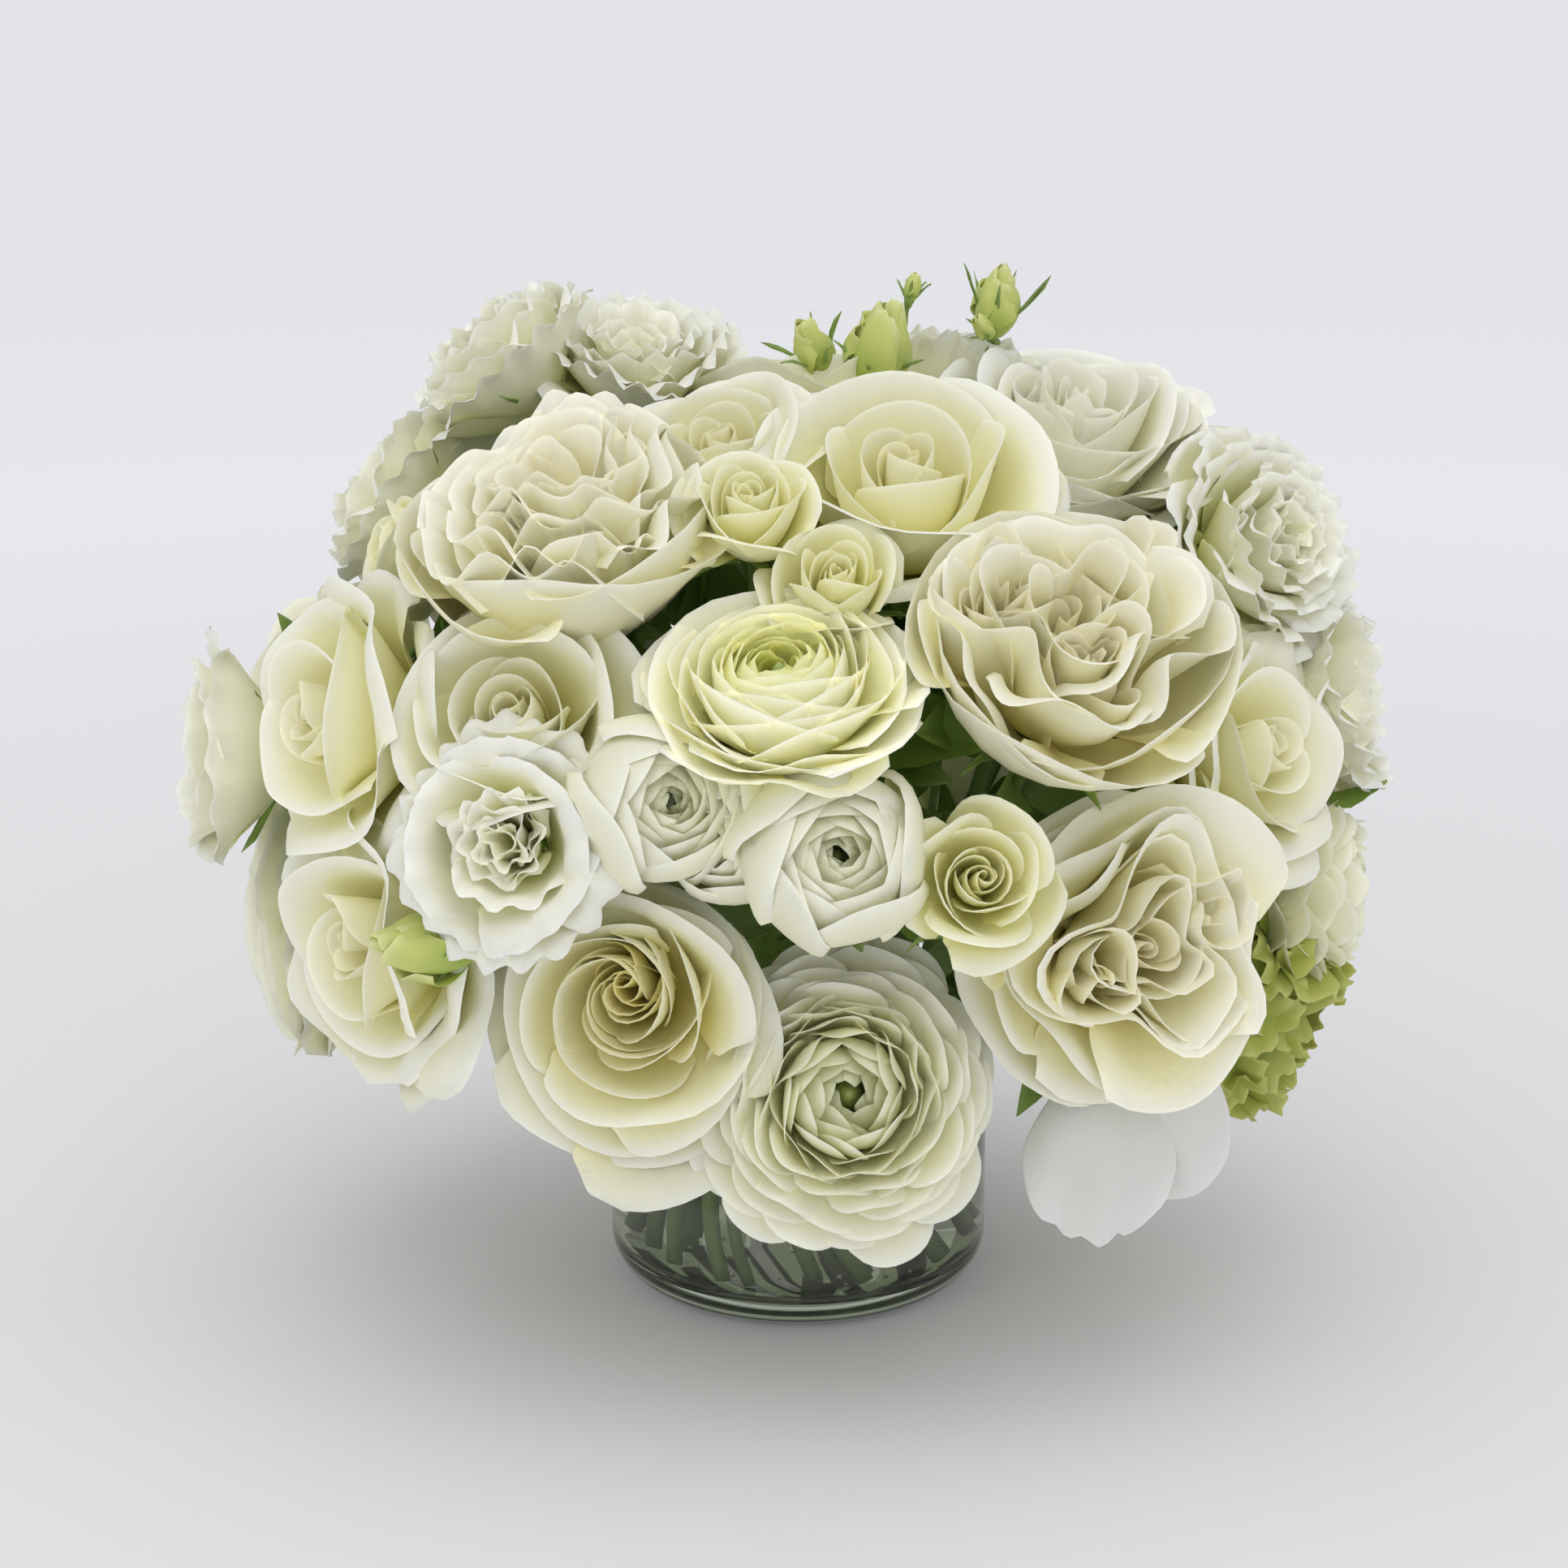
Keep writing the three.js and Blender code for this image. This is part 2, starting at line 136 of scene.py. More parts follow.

# %% [markdown]
# ## Studio
# White flowers need soft light from nearly everywhere, or every petal throws a hard shadow on the
# next. A large overhead panel gives the direction, panels in front and at the sides fill, and a pale
# sky does the rest.
# The floor is one wide disc, so that its edge stays out of sight. A studio lights its backdrop apart
# from the object, and here the floor is the backdrop, so it glows a little by itself. Round the vase it
# is painted greyer and glows less, which is painted shade.

# %% Floor
FLOOR_RADIUS, FLOOR_SIDES = 24.0, 96        # metres
FLOOR_DROP = 0.0001                         # a hair of air, or glass and floor share one plane
# The second colour is painted shade: the floor is greyer round the object.
FLOOR_COLOUR, FLOOR_SHADE_COLOUR = (0.97, 0.97, 0.985, 1), (0.90, 0.90, 0.905, 1)
FLOOR_FADE = (0.15, 1.6)                    # metres from the vase, from the painted shade colour to the plain one
FLOOR_MOTTLE, FLOOR_MOTTLE_SCALE = 0.06, 1.5
BACKDROP_COLOUR, BACKDROP_LIGHT = (0.97, 0.97, 1.0, 1), (0.07, 0.22)     # glow near and far, weaker near the vase as painted shade


def floor_material():
    """Pale matte paint with a slow mottle, greyer near the object as painted shade."""
    material, tree, shader = new_material("floor_paint")
    mottle = add_node(tree, "ShaderNodeTexNoise", {"Scale": FLOOR_MOTTLE_SCALE}).outputs["Fac"]
    spot = add_node(tree, "ShaderNodeNewGeometry").outputs["Position"]
    distance = add_node(tree, "ShaderNodeVectorMath", {0: spot}, operation="LENGTH").outputs["Value"]
    fade = add_node(tree, "ShaderNodeMath", {
        0: mottle, 1: FLOOR_MOTTLE, 2: smooth_between(tree, distance, *FLOOR_FADE)},
        operation="MULTIPLY_ADD").outputs[0]
    set_inputs(tree, shader, {
        "Base Color": mix_node(tree, fade, FLOOR_SHADE_COLOUR, FLOOR_COLOUR), "Roughness": 0.8,
        "Specular IOR Level": 0.1, "Emission Color": BACKDROP_COLOUR,
        "Emission Strength": spread(tree, fade, *BACKDROP_LIGHT)})
    return material


bpy.ops.mesh.primitive_circle_add(vertices=FLOOR_SIDES, radius=FLOOR_RADIUS, fill_type="NGON")
floor = bpy.context.object
floor.name = "floor"
floor.location.z = -FLOOR_DROP
floor.data.materials.append(floor_material())
print("floor, m across:", 2 * FLOOR_RADIUS)

# %% Sky and light panels
ZENITH_COLOUR, ZENITH_STRENGTH = (0.97, 0.975, 1.0, 1), 1.25
HORIZON_COLOUR, HORIZON_STRENGTH = (0.93, 0.94, 1.0, 1), 0.62
SKY_ON_MATTE = 0.78        # matte things get less sky than the eye sees, so the panels can shape petals
PANELS = {  # place and width in metres, power in watts
    "overhead_panel": ((-0.15, -0.40, 1.5), 1.4, 4.7), "side_panel": ((-1.2, -1.2, 0.7), 0.5, 1.6),
    "front_panel": ((0.25, -1.8, 1.15), 1.6, 3.5), "right_panel": ((1.3, -0.6, 1.1), 0.8, 1.4)}
PANEL_COLOUR, PANEL_AIM = (1, 0.99, 0.97), Vector((0, 0, 0.16))

sky = bpy.data.worlds.new("sky")
scene.world = sky
sky.use_nodes = True
tree = sky.node_tree
spot = add_node(tree, "ShaderNodeTexCoord").outputs["Generated"]
height = add_node(tree, "ShaderNodeSeparateXYZ", {0: spot}).outputs["Z"]
strength = add_node(tree, "ShaderNodeMix", {
    0: height, 2: HORIZON_STRENGTH, 3: ZENITH_STRENGTH}).outputs[0]
on_matte = add_node(tree, "ShaderNodeLightPath").outputs["Is Diffuse Ray"]
set_inputs(tree, tree.nodes["Background"], {
    "Color": mix_node(tree, height, HORIZON_COLOUR, ZENITH_COLOUR),
    "Strength": math_node(tree, "MULTIPLY", strength, spread(tree, on_matte, 1.0, SKY_ON_MATTE))})
for name, (place, size, power) in PANELS.items():
    panel = bpy.data.objects.new(name, bpy.data.lights.new(name, "AREA"))
    scene.collection.objects.link(panel)
    panel.data.size, panel.data.energy, panel.data.color = size, power, PANEL_COLOUR
    panel.location = place
    panel.rotation_mode = "QUATERNION"
    panel.rotation_quaternion = (PANEL_AIM - Vector(place)).to_track_quat("-Z", "Y")
print("sky strength, horizon and zenith:", HORIZON_STRENGTH, ZENITH_STRENGTH)
print("light panels:", len(PANELS))

# %% [markdown]
# ## Bearings, rises and the dome
# The florist thinks in "round to the right, and a bit up", so the planting plan does too. A bearing
# goes round the vase, 0 in front and 90 at the right, and a rise goes up from level. The middles of
# the flowers lie on an egg-shaped dome. Plain x, y and z would do, but they say nothing to a planter.

# %% Directions on the dome
MM = 0.001
DOME_MIDDLE = np.array([-3.0, 0.0, 160.0])
DOME_REACH = np.array([168.0, 135.0, 118.0])


def direction(bearing, rise):
    """Unit vector for a bearing and a rise in degrees."""
    b, r = math.radians(bearing), math.radians(rise)
    return np.array([math.cos(r) * math.sin(b), -math.cos(r) * math.cos(b), math.sin(r)])


def unit(vector):
    return vector / np.linalg.norm(vector)


def dome_point(bearing, rise, out):
    """Point of the dome, moved out along the dome's own normal, in mm."""
    way = direction(bearing, rise)
    return DOME_MIDDLE + way * DOME_REACH + unit(way / DOME_REACH) * out


def axes_for(way, roll=0.0):
    """Three columns: right, up and way. They turn a flower modelled along +Z to face its way."""
    right = unit(np.cross([0.0, 0.0, 1.0], way))
    up = np.cross(way, right)
    c, s = math.cos(math.radians(roll)), math.sin(math.radians(roll))
    return np.stack([right * c + up * s, up * c - right * s, way], axis=1)


print("dome, mm across, deep and high:", 2 * DOME_REACH)

# %% [markdown]
# ## Planting plan
# One row for each flower: where its middle sits, which way it faces and how wide it is. Its name
# starts with its kind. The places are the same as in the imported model, and the print at the end
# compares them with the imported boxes.

# %% Planting plan
DEEP = {"rose": 0.7, "garden_rose": 0.64, "ranunculus": 0.6, "lisianthus": 0.66,
        "spray_rose": 0.82, "bud": 1.35, "hydrangea": 0.5}      # depth as a share of the width
# name: (bearing, rise, out), (bearing and rise of its face), width in mm
PLAN = {
    "rose_top_centre": ((27, 64, -4), (0, 62), 84),
    "rose_crown_left": ((-24, 73, -5), (-25, 62), 62),
    "rose_crown_back": ((170, 78, -6), (172, 74), 88),
    "garden_rose_top_right": ((102, 59, 2), (20, 68), 92),
    "garden_rose_top_left": ((-33, 48, 0), (-20, 66), 92),
    "garden_rose_centre_right": ((31, 31, 0), (14, 52), 92),
    "garden_rose_front_right": ((35, -9, -1), (22, 14), 94),
    "rose_left": ((-53, 19, 0), (-60, 12), 84),
    "rose_middle_left": ((-29, 24, 0), (-14, 42), 66),
    "rose_front_low_left": ((-16, -17, 0), (-10, 14), 82),
    "rose_low_left": ((-46, -11, -2), (-52, 6), 84),
    "rose_right": ((62, 14, -12), (52, 24), 76),
    "ranunculus_centre": ((-1, 30, 4), (-5, 66), 80),
    "ranunculus_front_left": ((-13, 15, 0), (18, 12), 52),
    "ranunculus_tucked": ((-6, 11, -9), (-24, 2), 44),
    "ranunculus_front_centre": ((4, 8, 3), (8, 20), 56),
    "ranunculus_front_low": ((6, -27, 4), (4, 20), 86),
    "ranunculus_right": ((84, -14, 0), (80, 2), 76),
    "lisianthus_top_left": ((-105, 61, 26), (-95, 46), 64),
    "lisianthus_crown": ((-122, 72, 15), (12, 72), 62),
    "lisianthus_crown_back": ((136, 60, 8), (140, 54), 66),
    "lisianthus_left_shoulder": ((-101, 44, 3), (-106, 26), 62),
    "lisianthus_far_left": ((-79, 7, 5), (-76, 2), 68),
    "lisianthus_front_left": ((-26, 8, 7), (-14, 18), 64),
    "lisianthus_right": ((80, 37, 12), (48, 22), 72),
    "lisianthus_far_right": ((90, 13, 3), (78, 10), 66),
    "spray_rose_upper": ((-6, 53, 8), (-4, 58), 40),
    "spray_rose_centre": ((6, 44, 0), (4, 50), 42),
    "spray_rose_left": ((-74, 44, -6), (-80, 16), 40),
    "spray_rose_front": ((17, 4.5, 6), (5, 24), 44),
    "rose_back_top": ((172, 46, 0), (174, 44), 98),
    "rose_back_centre": ((173, 14, 0), (174, 14), 96),
    "rose_back_left": ((-114, 6, -8), (-114, 8), 92),
    "rose_back_low_right": ((116, -18, 0), (118, -4), 92),
    "garden_rose_back_left": ((-150, 31, 0), (-150, 28), 98),
    "garden_rose_back_right": ((123, 32, 0), (124, 30), 100),
    "garden_rose_back_low": ((-167, -19, 0), (-168, -4), 96),
    "rose_back_shoulder": ((-121, 43, 0), (-121, 40), 86),
    "lisianthus_back_left": ((-146, -1, 0), (-146, 2), 72),
    "ranunculus_back_right": ((143, 6, 0), (143, 6), 86),
    "ranunculus_back_low": ((154, -26, 0), (154, -8), 80),
    "ranunculus_low_left": ((-94, -24, -3), (-94, -6), 82),
    "rose_back_low_left": ((-127, -22, 0), (-128, -6), 86),
    "hydrangea_right": ((80, -32, 2), (66, -18), 58),
    "bud_round": ((158, 84, 16), (-60, 62), 14),
    "bud_opening": ((117, 80, 18), (40, 76), 22),
    "bud_tall": ((114, 69, 38), (60, 80), 17),
    "bud_green_left": ((-34, -5, 14), (-80, 4), 21),
}
ROLLED = {"rose_top_centre": 20, "rose_crown_back": 60}     # degrees about its own stem

FLOWERS = {}
worst = 0.0
for seed, (name, (at, faces, across)) in enumerate(PLAN.items(), start=100):
    kind = next(kind for kind in DEEP if name.startswith(kind))
    middle = dome_point(*at)
    FLOWERS[name] = {"kind": kind, "middle": middle, "way": direction(*faces), "half": across / 2,
                     "deep": across * DEEP[kind], "roll": ROLLED.get(name, 0), "seed": seed}
    low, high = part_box(name)
    worst = max(worst, float(np.abs(np.array((low + high) / 2) / MM - middle).max()))
print("flowers:", len(FLOWERS), "largest offset from a packed box, mm:", round(worst, 1))

# %% [markdown]
# ## A pile of sheets and tubes
# A flower is dozens of petals, and each petal is a thin closed shell. Blender could make them as
# separate objects with a Solidify modifier, but thousands of modifiers are slow. Here every petal is
# a grid of points in NumPy, doubled into a front and a back that share their rim, and a whole flower
# becomes one mesh. Each point also carries numbers for its material: how far up the blade it lies,
# how far across, which layer of the flower it belongs to, and a tone of its own.

# %% The pile that gathers a flower
MARKS = ("blade", "across", "layer", "tone")
RIM = len(MARKS)           # column after the marks: 1 on the shared edge of a sheet


def sheet_faces(rows, columns):
    """Quads of a closed sheet: a front and a back grid that share the points of their edge."""
    front = np.arange(rows * columns).reshape(rows, columns)
    back = front.copy()
    inner = np.arange((rows - 2) * (columns - 2)).reshape(rows - 2, columns - 2)
    back[1:-1, 1:-1] = rows * columns + inner

    def quads(grid):
        corners = [grid[:-1, :-1], grid[:-1, 1:], grid[1:, 1:], grid[1:, :-1]]
        return np.stack(corners, axis=-1).reshape(-1, 4)

    return np.concatenate([quads(front), quads(back)[:, ::-1]])


def circle(sides):
    """The angles of the points round a circle."""
    return np.arange(sides) * 2 * math.pi / sides


class Pile:
    """Sheets and tubes in mm that become one Blender mesh."""

    def __init__(self):
        self.points, self.faces, self.marks, self.slots, self.count = [], [], [], [], 0

    def add(self, points, faces, marks, slot):
        """New points, lists of faces between them, and a row of marks for each point, or 0 for none."""
        for part in faces:
            self.faces.append(part + self.count)
            self.slots.append(np.full(len(part), slot))
        self.points.append(points)
        self.marks.append(np.broadcast_to(marks, (len(points), RIM + 1)))
        self.count += len(points)

    def add_sheet(self, grid, thick, layer=0.0, tone=0.5, slot=0):
        """A grid of points, rows up the blade, as a closed sheet of the given thickness."""
        rows, columns, _ = grid.shape
        normal = np.cross(np.gradient(grid, axis=1), np.gradient(grid, axis=0))
        normal /= np.linalg.norm(normal, axis=2, keepdims=True) + 1e-9
        front = grid + normal * thick / 2
        back = grid - normal * thick / 2
        for edge in (np.s_[0], np.s_[-1], np.s_[:, 0], np.s_[:, -1]):
            front[edge] = grid[edge]
        points = np.concatenate([front.reshape(-1, 3), back[1:-1, 1:-1].reshape(-1, 3)])
        blade, across = np.meshgrid(np.linspace(0, 1, rows), np.linspace(-1, 1, columns), indexing="ij")
        marks = np.stack(np.broadcast_arrays(blade, across, layer, tone, 1), axis=-1)
        marks[1:-1, 1:-1, RIM] = 0
        marks = np.concatenate([marks.reshape(-1, RIM + 1), marks[1:-1, 1:-1].reshape(-1, RIM + 1)])
        self.add(points, [sheet_faces(rows, columns)], marks, slot)

    def add_rings(self, rings, foot, tip, marks=0, slot=0):
        """Rings of points, one above the other, closed by a point at either end."""
        rows, sides, _ = rings.shape
        grid = np.arange(rows * sides).reshape(rows, sides)
        after = np.roll(grid, -1, axis=1)
        walls = np.stack([grid[:-1], after[:-1], after[1:], grid[1:]], axis=-1).reshape(-1, 4)
        foot_fan = np.stack([after[0], grid[0], np.full(sides, rows * sides)], axis=-1)
        tip_fan = np.stack([grid[-1], after[-1], np.full(sides, rows * sides + 1)], axis=-1)
        points = np.concatenate([rings.reshape(-1, 3), [foot], [tip]])
        self.add(points, [walls, foot_fan, tip_fan], marks, slot)

    def add_tube(self, centres, radii, sides=8, layer=0.0, tone=0.5, slot=0):
        """A round stalk through the centres."""
        centres = np.asarray(centres, float)
        ways = np.gradient(centres, axis=0)
        ways /= np.linalg.norm(ways, axis=1, keepdims=True) + 1e-9
        side = np.cross(ways[0], [0.31, 0.74, 0.6])       # any way that no stalk runs along
        rings = []
        for centre, way, radius in zip(centres, ways, radii):
            side = unit(side - way * side.dot(way))
            other = np.cross(way, side)
            aside = np.outer(np.cos(circle(sides)), side) + np.outer(np.sin(circle(sides)), other)
            rings.append(centre + radius * aside)
        rows = len(centres)
        marks = np.zeros((rows * sides + 2, RIM + 1))
        marks[:-2, 0], marks[-1, 0] = np.repeat(np.linspace(0, 1, rows), sides), 1
        marks[:-2, 1] = np.tile(np.linspace(-1, 1, sides), rows)
        marks[:, 2:RIM] = layer, tone
        self.add_rings(np.array(rings), centres[0], centres[-1], marks, slot)

    def lathe(self, outline, sides=128, middle=(0, 0, 0)):
        """Turns an outline of (radius, height) that starts and ends on the axis into a closed solid."""
        radius, height = np.asarray(outline, float).T
        x, y = np.outer(radius, np.cos(circle(sides))), np.outer(radius, np.sin(circle(sides)))
        rings = np.stack(np.broadcast_arrays(x, y, height[:, None]), axis=-1) + middle
        self.add_rings(rings[1:-1], rings[0, 0], rings[-1, 0])

    def join(self, other):
        """Takes over everything from a smaller pile."""
        self.points += other.points
        self.faces += [faces + self.count for faces in other.faces]
        self.marks += other.marks
        self.slots += other.slots
        self.count += other.count

    def place(self, axes, origin):
        """Turns and moves everything in the pile."""
        self.points = [points @ axes.T + origin for points in self.points]

    def triangles(self):
        return sum(len(f) * (f.shape[1] - 2) for f in self.faces)


print("faces of a closed sheet of 3 by 3 points:", len(sheet_faces(3, 3)))

# %% [markdown]
# ## From a pile to a piece
# Blender takes points and faces in bulk, which is much quicker than one face at a time. The marks
# become point attributes, which a material reads by name. Each piece rides the one imported body, wears
# its materials, and takes the place of its imported node where it has one.

# %% Building a piece
def build_piece(pile, name, materials, node=None):
    """One smooth-shaded object in metres, with the marks as point attributes."""
    points = np.concatenate(pile.points) * MM
    sizes = np.concatenate([np.full(len(f), f.shape[1]) for f in pile.faces])
    mesh = bpy.data.meshes.new(name)
    mesh.vertices.add(len(points))
    mesh.vertices.foreach_set("co", points.ravel())
    corners = np.concatenate([f.ravel() for f in pile.faces])
    mesh.loops.add(len(corners))
    mesh.loops.foreach_set("vertex_index", corners)
    mesh.polygons.add(len(sizes))
    mesh.polygons.foreach_set("loop_start", np.concatenate([[0], np.cumsum(sizes)[:-1]]))
    mesh.polygons.foreach_set("material_index", np.concatenate(pile.slots))
    mesh.polygons.foreach_set("use_smooth", np.ones(len(sizes), bool))
    mesh.update(calc_edges=True)
    marks = np.concatenate(pile.marks)
    for column, mark in enumerate(MARKS):
        values = mesh.attributes.new(mark, "FLOAT", "POINT").data
        values.foreach_set("value", marks[:, column].copy())
    # A sharp rim keeps both faces of a petal flat right up to its edge, so it looks thin.
    ends = np.empty(2 * len(mesh.edges), int)
    mesh.edges.foreach_get("vertices", ends)
    on_rim = marks[ends.reshape(-1, 2), RIM].min(axis=1) > 0.5
    mesh.attributes.new("sharp_edge", "BOOLEAN", "EDGE").data.foreach_set("value", on_rim)
    for material in materials:
        mesh.materials.append(material)
    piece = bpy.data.objects.new(name, mesh)
    scene.collection.objects.link(piece)
    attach(piece, "root")
    if node:
        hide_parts(node)
    return piece


print("attributes on every piece:", ", ".join(MARKS))

# %% [markdown]
# ## One petal
# A petal grows up from its foot. Its lean away from the flower's axis changes on the way: first it
# opens, then it stands up or closes, and at the end its lip rolls over. Sideways it wraps round the
# axis. So the petal is drawn the way it grows: each column of points climbs by its own lean, and each
# row is bent into an arc. A rounded top, ruffles, a frill and a slow wobble come on top. The same
# function makes rose petals, ranunculus scales, sepals and bracts.

# %% Petal
LIP_FROM = 0.8             # share of the way up from which a lip rolls over
SIDE_ROLL_FROM = 0.55      # share of the way out from which the sides curl
POINT_WIDTH = 0.2          # of a drawn-out tip, as a share of the half width
MOST_BEND = 2.5            # radians to either side, so that a petal never meets itself


def ease(x):
    """Smooth step from 0 to 1."""
    x = np.clip(x, 0, 1)
    return x * x * (3 - 2 * x)


def petal(length, half_width, lean, *, base, wrap, round_top, rows, columns, rng, foot=0.3,
          widest=0.65, taper=0.0, spiral=0.0, lip=0.0, edge_lean=0.0, side_roll=0.0, ruffle=0.0,
          waves=3.0, phase=0.0, crimp=2.5, frill=None, point=0.0, wobble=0.0):
    """Grid of points for one petal that grows from the axis towards +X and up +Z, in mm.

    lean: degrees away from the axis, evenly spaced from the foot to the tip.
    wrap: how closely a row follows a circle round the axis. lip, edge_lean, side_roll: degrees.
    """
    u = np.sin(np.linspace(-1, 1, columns) * math.pi / 2)
    if frill is not None or ruffle > 0.03 * half_width:
        u = np.linspace(-1, 1, columns)
    v = 1 - (1 - np.linspace(0, 1, rows)) ** 1.4
    uu, vv = np.meshgrid(u, v)
    side = np.abs(uu)
    top = 1 - round_top * (1 - np.sqrt(np.clip(1 - side ** 2.2, 0, 1)))
    top = top + point * np.exp(-(uu / POINT_WIDTH) ** 2)
    if frill is not None:
        top = top + frill[None, :] * (1 - side ** 6)
    share = vv * top
    lean_here = np.radians(np.interp(share, np.linspace(0, 1, len(lean)), lean))
    rolled = (lean_here + math.radians(edge_lean) * side ** 2 * share ** 2
              + math.radians(lip) * ease((vv - LIP_FROM) / (1 - LIP_FROM)))
    step = np.diff(share, axis=0) * length

    def climb(angle):
        half = (angle[1:] + angle[:-1]) / 2
        start = np.zeros((1, columns))
        out = np.concatenate([start, np.cumsum(np.sin(half) * step, axis=0)])
        up = np.concatenate([start, np.cumsum(np.cos(half) * step, axis=0)])
        return out, up

    out, up = climb(lean_here)
    out_rolled, up_rolled = climb(rolled)
    centre = columns // 2
    narrowing = 1 - taper * ease((vv - widest) / (1 - widest))
    width = half_width * (foot + (1 - foot) * ease(vv / widest)) * narrowing
    radius = np.maximum(base + out[:, centre:centre + 1], 0.5)
    bend = np.minimum(wrap * width / radius, MOST_BEND)
    curl = ease((side - SIDE_ROLL_FROM) / (1 - SIDE_ROLL_FROM)) * vv ** 2
    psi = bend * uu - math.radians(side_roll) * np.sign(uu) * curl

    def across(values):
        middle = (values[:, 1:] + values[:, :-1]) / 2 * np.diff(u)
        total = np.concatenate([np.zeros((rows, 1)), np.cumsum(middle, axis=1)], axis=1)
        return width * (total - total[:, centre:centre + 1])

    sideways, inward = across(np.cos(psi)), -across(np.sin(psi))
    push = spiral * uu * ease(vv * 1.5) + ruffle * vv ** crimp * np.sin(waves * math.pi * uu + phase)
    if wobble:
        for _ in range(3):
            a, b, c = rng.uniform(1, 4), rng.uniform(1, 4), rng.uniform(0, 6.3)
            push = push + wobble / 2 * vv * np.sin(a * uu + b * vv + c)
    shift = out_rolled - out + push * np.cos(rolled)
    x = base + out + np.cos(lean_here) * inward + shift * np.cos(psi)
    y = sideways + shift * np.sin(psi)
    z = up - np.sin(lean_here) * inward + up_rolled - up - push * np.sin(rolled)
    return np.stack([x, y, z], axis=-1)


def turned(grid, degrees, tip=0.0, swing=0.0):
    """Turns a petal round the axis after tipping it out and swinging it sideways by a few degrees."""
    turn = (Matrix.Rotation(math.radians(degrees), 3, "Z") @ Matrix.Rotation(math.radians(tip), 3, "Y")
            @ Matrix.Rotation(math.radians(swing), 3, "X"))
    return grid @ np.array(turn).T


def blend_rows(share, table):
    """Row of numbers between the keyed rows of a table {share: (numbers)}."""
    keys = sorted(table)
    rows = np.array([table[k] for k in keys], float)
    return [float(np.interp(share, keys, column)) for column in rows.T]


sample = petal(40, 20, (30, 10, 30), base=2, wrap=0.8, round_top=0.4, rows=12, columns=13, rng=None)
print("a petal 40 mm long and 40 wide, wrapped, in mm:", np.ptp(sample.reshape(-1, 3), axis=0).round(1))

# %% [markdown]
# ## A petal by its rim, and rings of them
# A florist describes an open flower by its rims: how wide each ring is, how high it stands, how much
# the petals belly out on the way. So a ring is a table of those numbers, read from the heart
# outwards, and each petal is an arc between its foot and its rim. One petal follows the last by the
# golden angle, as they grow. A rumple presses the ring in at a few bearings, which turns round rims
# into folded ribbons that still never cross.

# %% Rings of petals
GOLDEN_ANGLE = 137.508     # degrees between one petal and the next on a growing tip


def rumple(grid, half, lobes, pinch, sink=0.1, turn=0.0, twist=1.0):
    """Presses petals in at some bearings, most at their rims."""
    x, y, z = np.moveaxis(grid, -1, 0)
    radius, bearing = np.hypot(x, y), np.arctan2(y, x)
    up = ease(z / (0.95 * half))
    swirl = twist * radius / half
    turn = math.radians(turn)
    wave = (0.7 * np.cos(lobes * (bearing - turn) + swirl)
            + 0.25 * np.cos((lobes + 1) * bearing + 2 * turn - swirl)
            + 0.12 * np.cos((2 * lobes + 1) * bearing - 3 * turn + 2 * swirl))
    fade = up * np.exp(-(radius / (0.95 * half)) ** 4)
    radius = radius * (1 + pinch * fade * wave)
    z = z + sink * half * fade * wave
    return np.stack([radius * np.cos(bearing), radius * np.sin(bearing), z], axis=-1)


def ring(pile, half, rng, petals, table, *, floor, heart=(0.0, 0.0), rumpled=None, spiral=0.06,
         round_top=0.44, fringed=0.0, waves=(1.0, 2.3), jitter=1.0, grid=(13, 17), thick=0.4,
         wobble=0.03, sag=0.0, crimp=2.5, open_sides=0.36, fine=1.0):
    """Petals from the heart outwards. Each table row, in shares of the half width and in degrees:
    rim radius, rim height, belly, half width, foot radius, lip, ruffle. sag: how much lower and wider
    the petals on the lower side of the flower hang. fine: share of the full count of points."""
    start = rng.uniform(0, 360)
    rows, columns = max(7, round(grid[0] * fine)), max(9, round(grid[1] * fine) // 2 * 2 + 1)
    for i in range(petals):
        share = i / max(petals - 1, 1)
        rim, height, belly, width, base, lip, ruffle = blend_rows(share, table)
        vary = [1 + jitter * rng.uniform(-0.05, 0.05) for _ in range(3)]
        bearing = start + i * GOLDEN_ANGLE + jitter * rng.uniform(-9, 9)
        hang = -sag * math.sin(math.radians(bearing)) * rim ** 2
        reach = rim * vary[0] * (1 + 0.5 * hang) - base
        height *= vary[1] * (1 - hang)
        slope, bend = math.degrees(math.atan2(reach, height)), math.radians(abs(belly)) + 1e-6
        length = math.hypot(reach, height) * bend / math.sin(bend)      # the arc over that chord
        blade = petal(
            half * length, half * width * (1 + 2 * (vary[2] - 1)),
            [slope + belly * k for k in (1, 0.33, -0.33, -1)], base=half * base, foot=0.36,
            round_top=round_top * rng.uniform(0.85, 1.15), wrap=1.0 - open_sides * min(rim, 1.0),
            spiral=spiral * half, lip=lip * rng.uniform(0.6, 1.35), edge_lean=18 * rim,
            ruffle=half * ruffle * rng.uniform(0.7, 1.3),
            waves=rng.uniform(*waves) * (0.4 + 0.7 * width), crimp=crimp,
            phase=rng.uniform(0, 6.3), frill=fringe(columns, fringed, rng) if fringed else None,
            wobble=wobble * half * (0.4 + rim), rows=rows, columns=columns, rng=rng)
        blade = turned(blade, bearing, swing=jitter * rng.uniform(-3, 3))
        if rumpled:
            blade = rumple(blade, half, **rumpled)
        away = max(0.0, 1 - rim) ** 1.3
        blade = blade + [heart[0] * half * away, heart[1] * half * away, floor]
        pile.add_sheet(blade, thick, min(1.0, rim), rng.random())


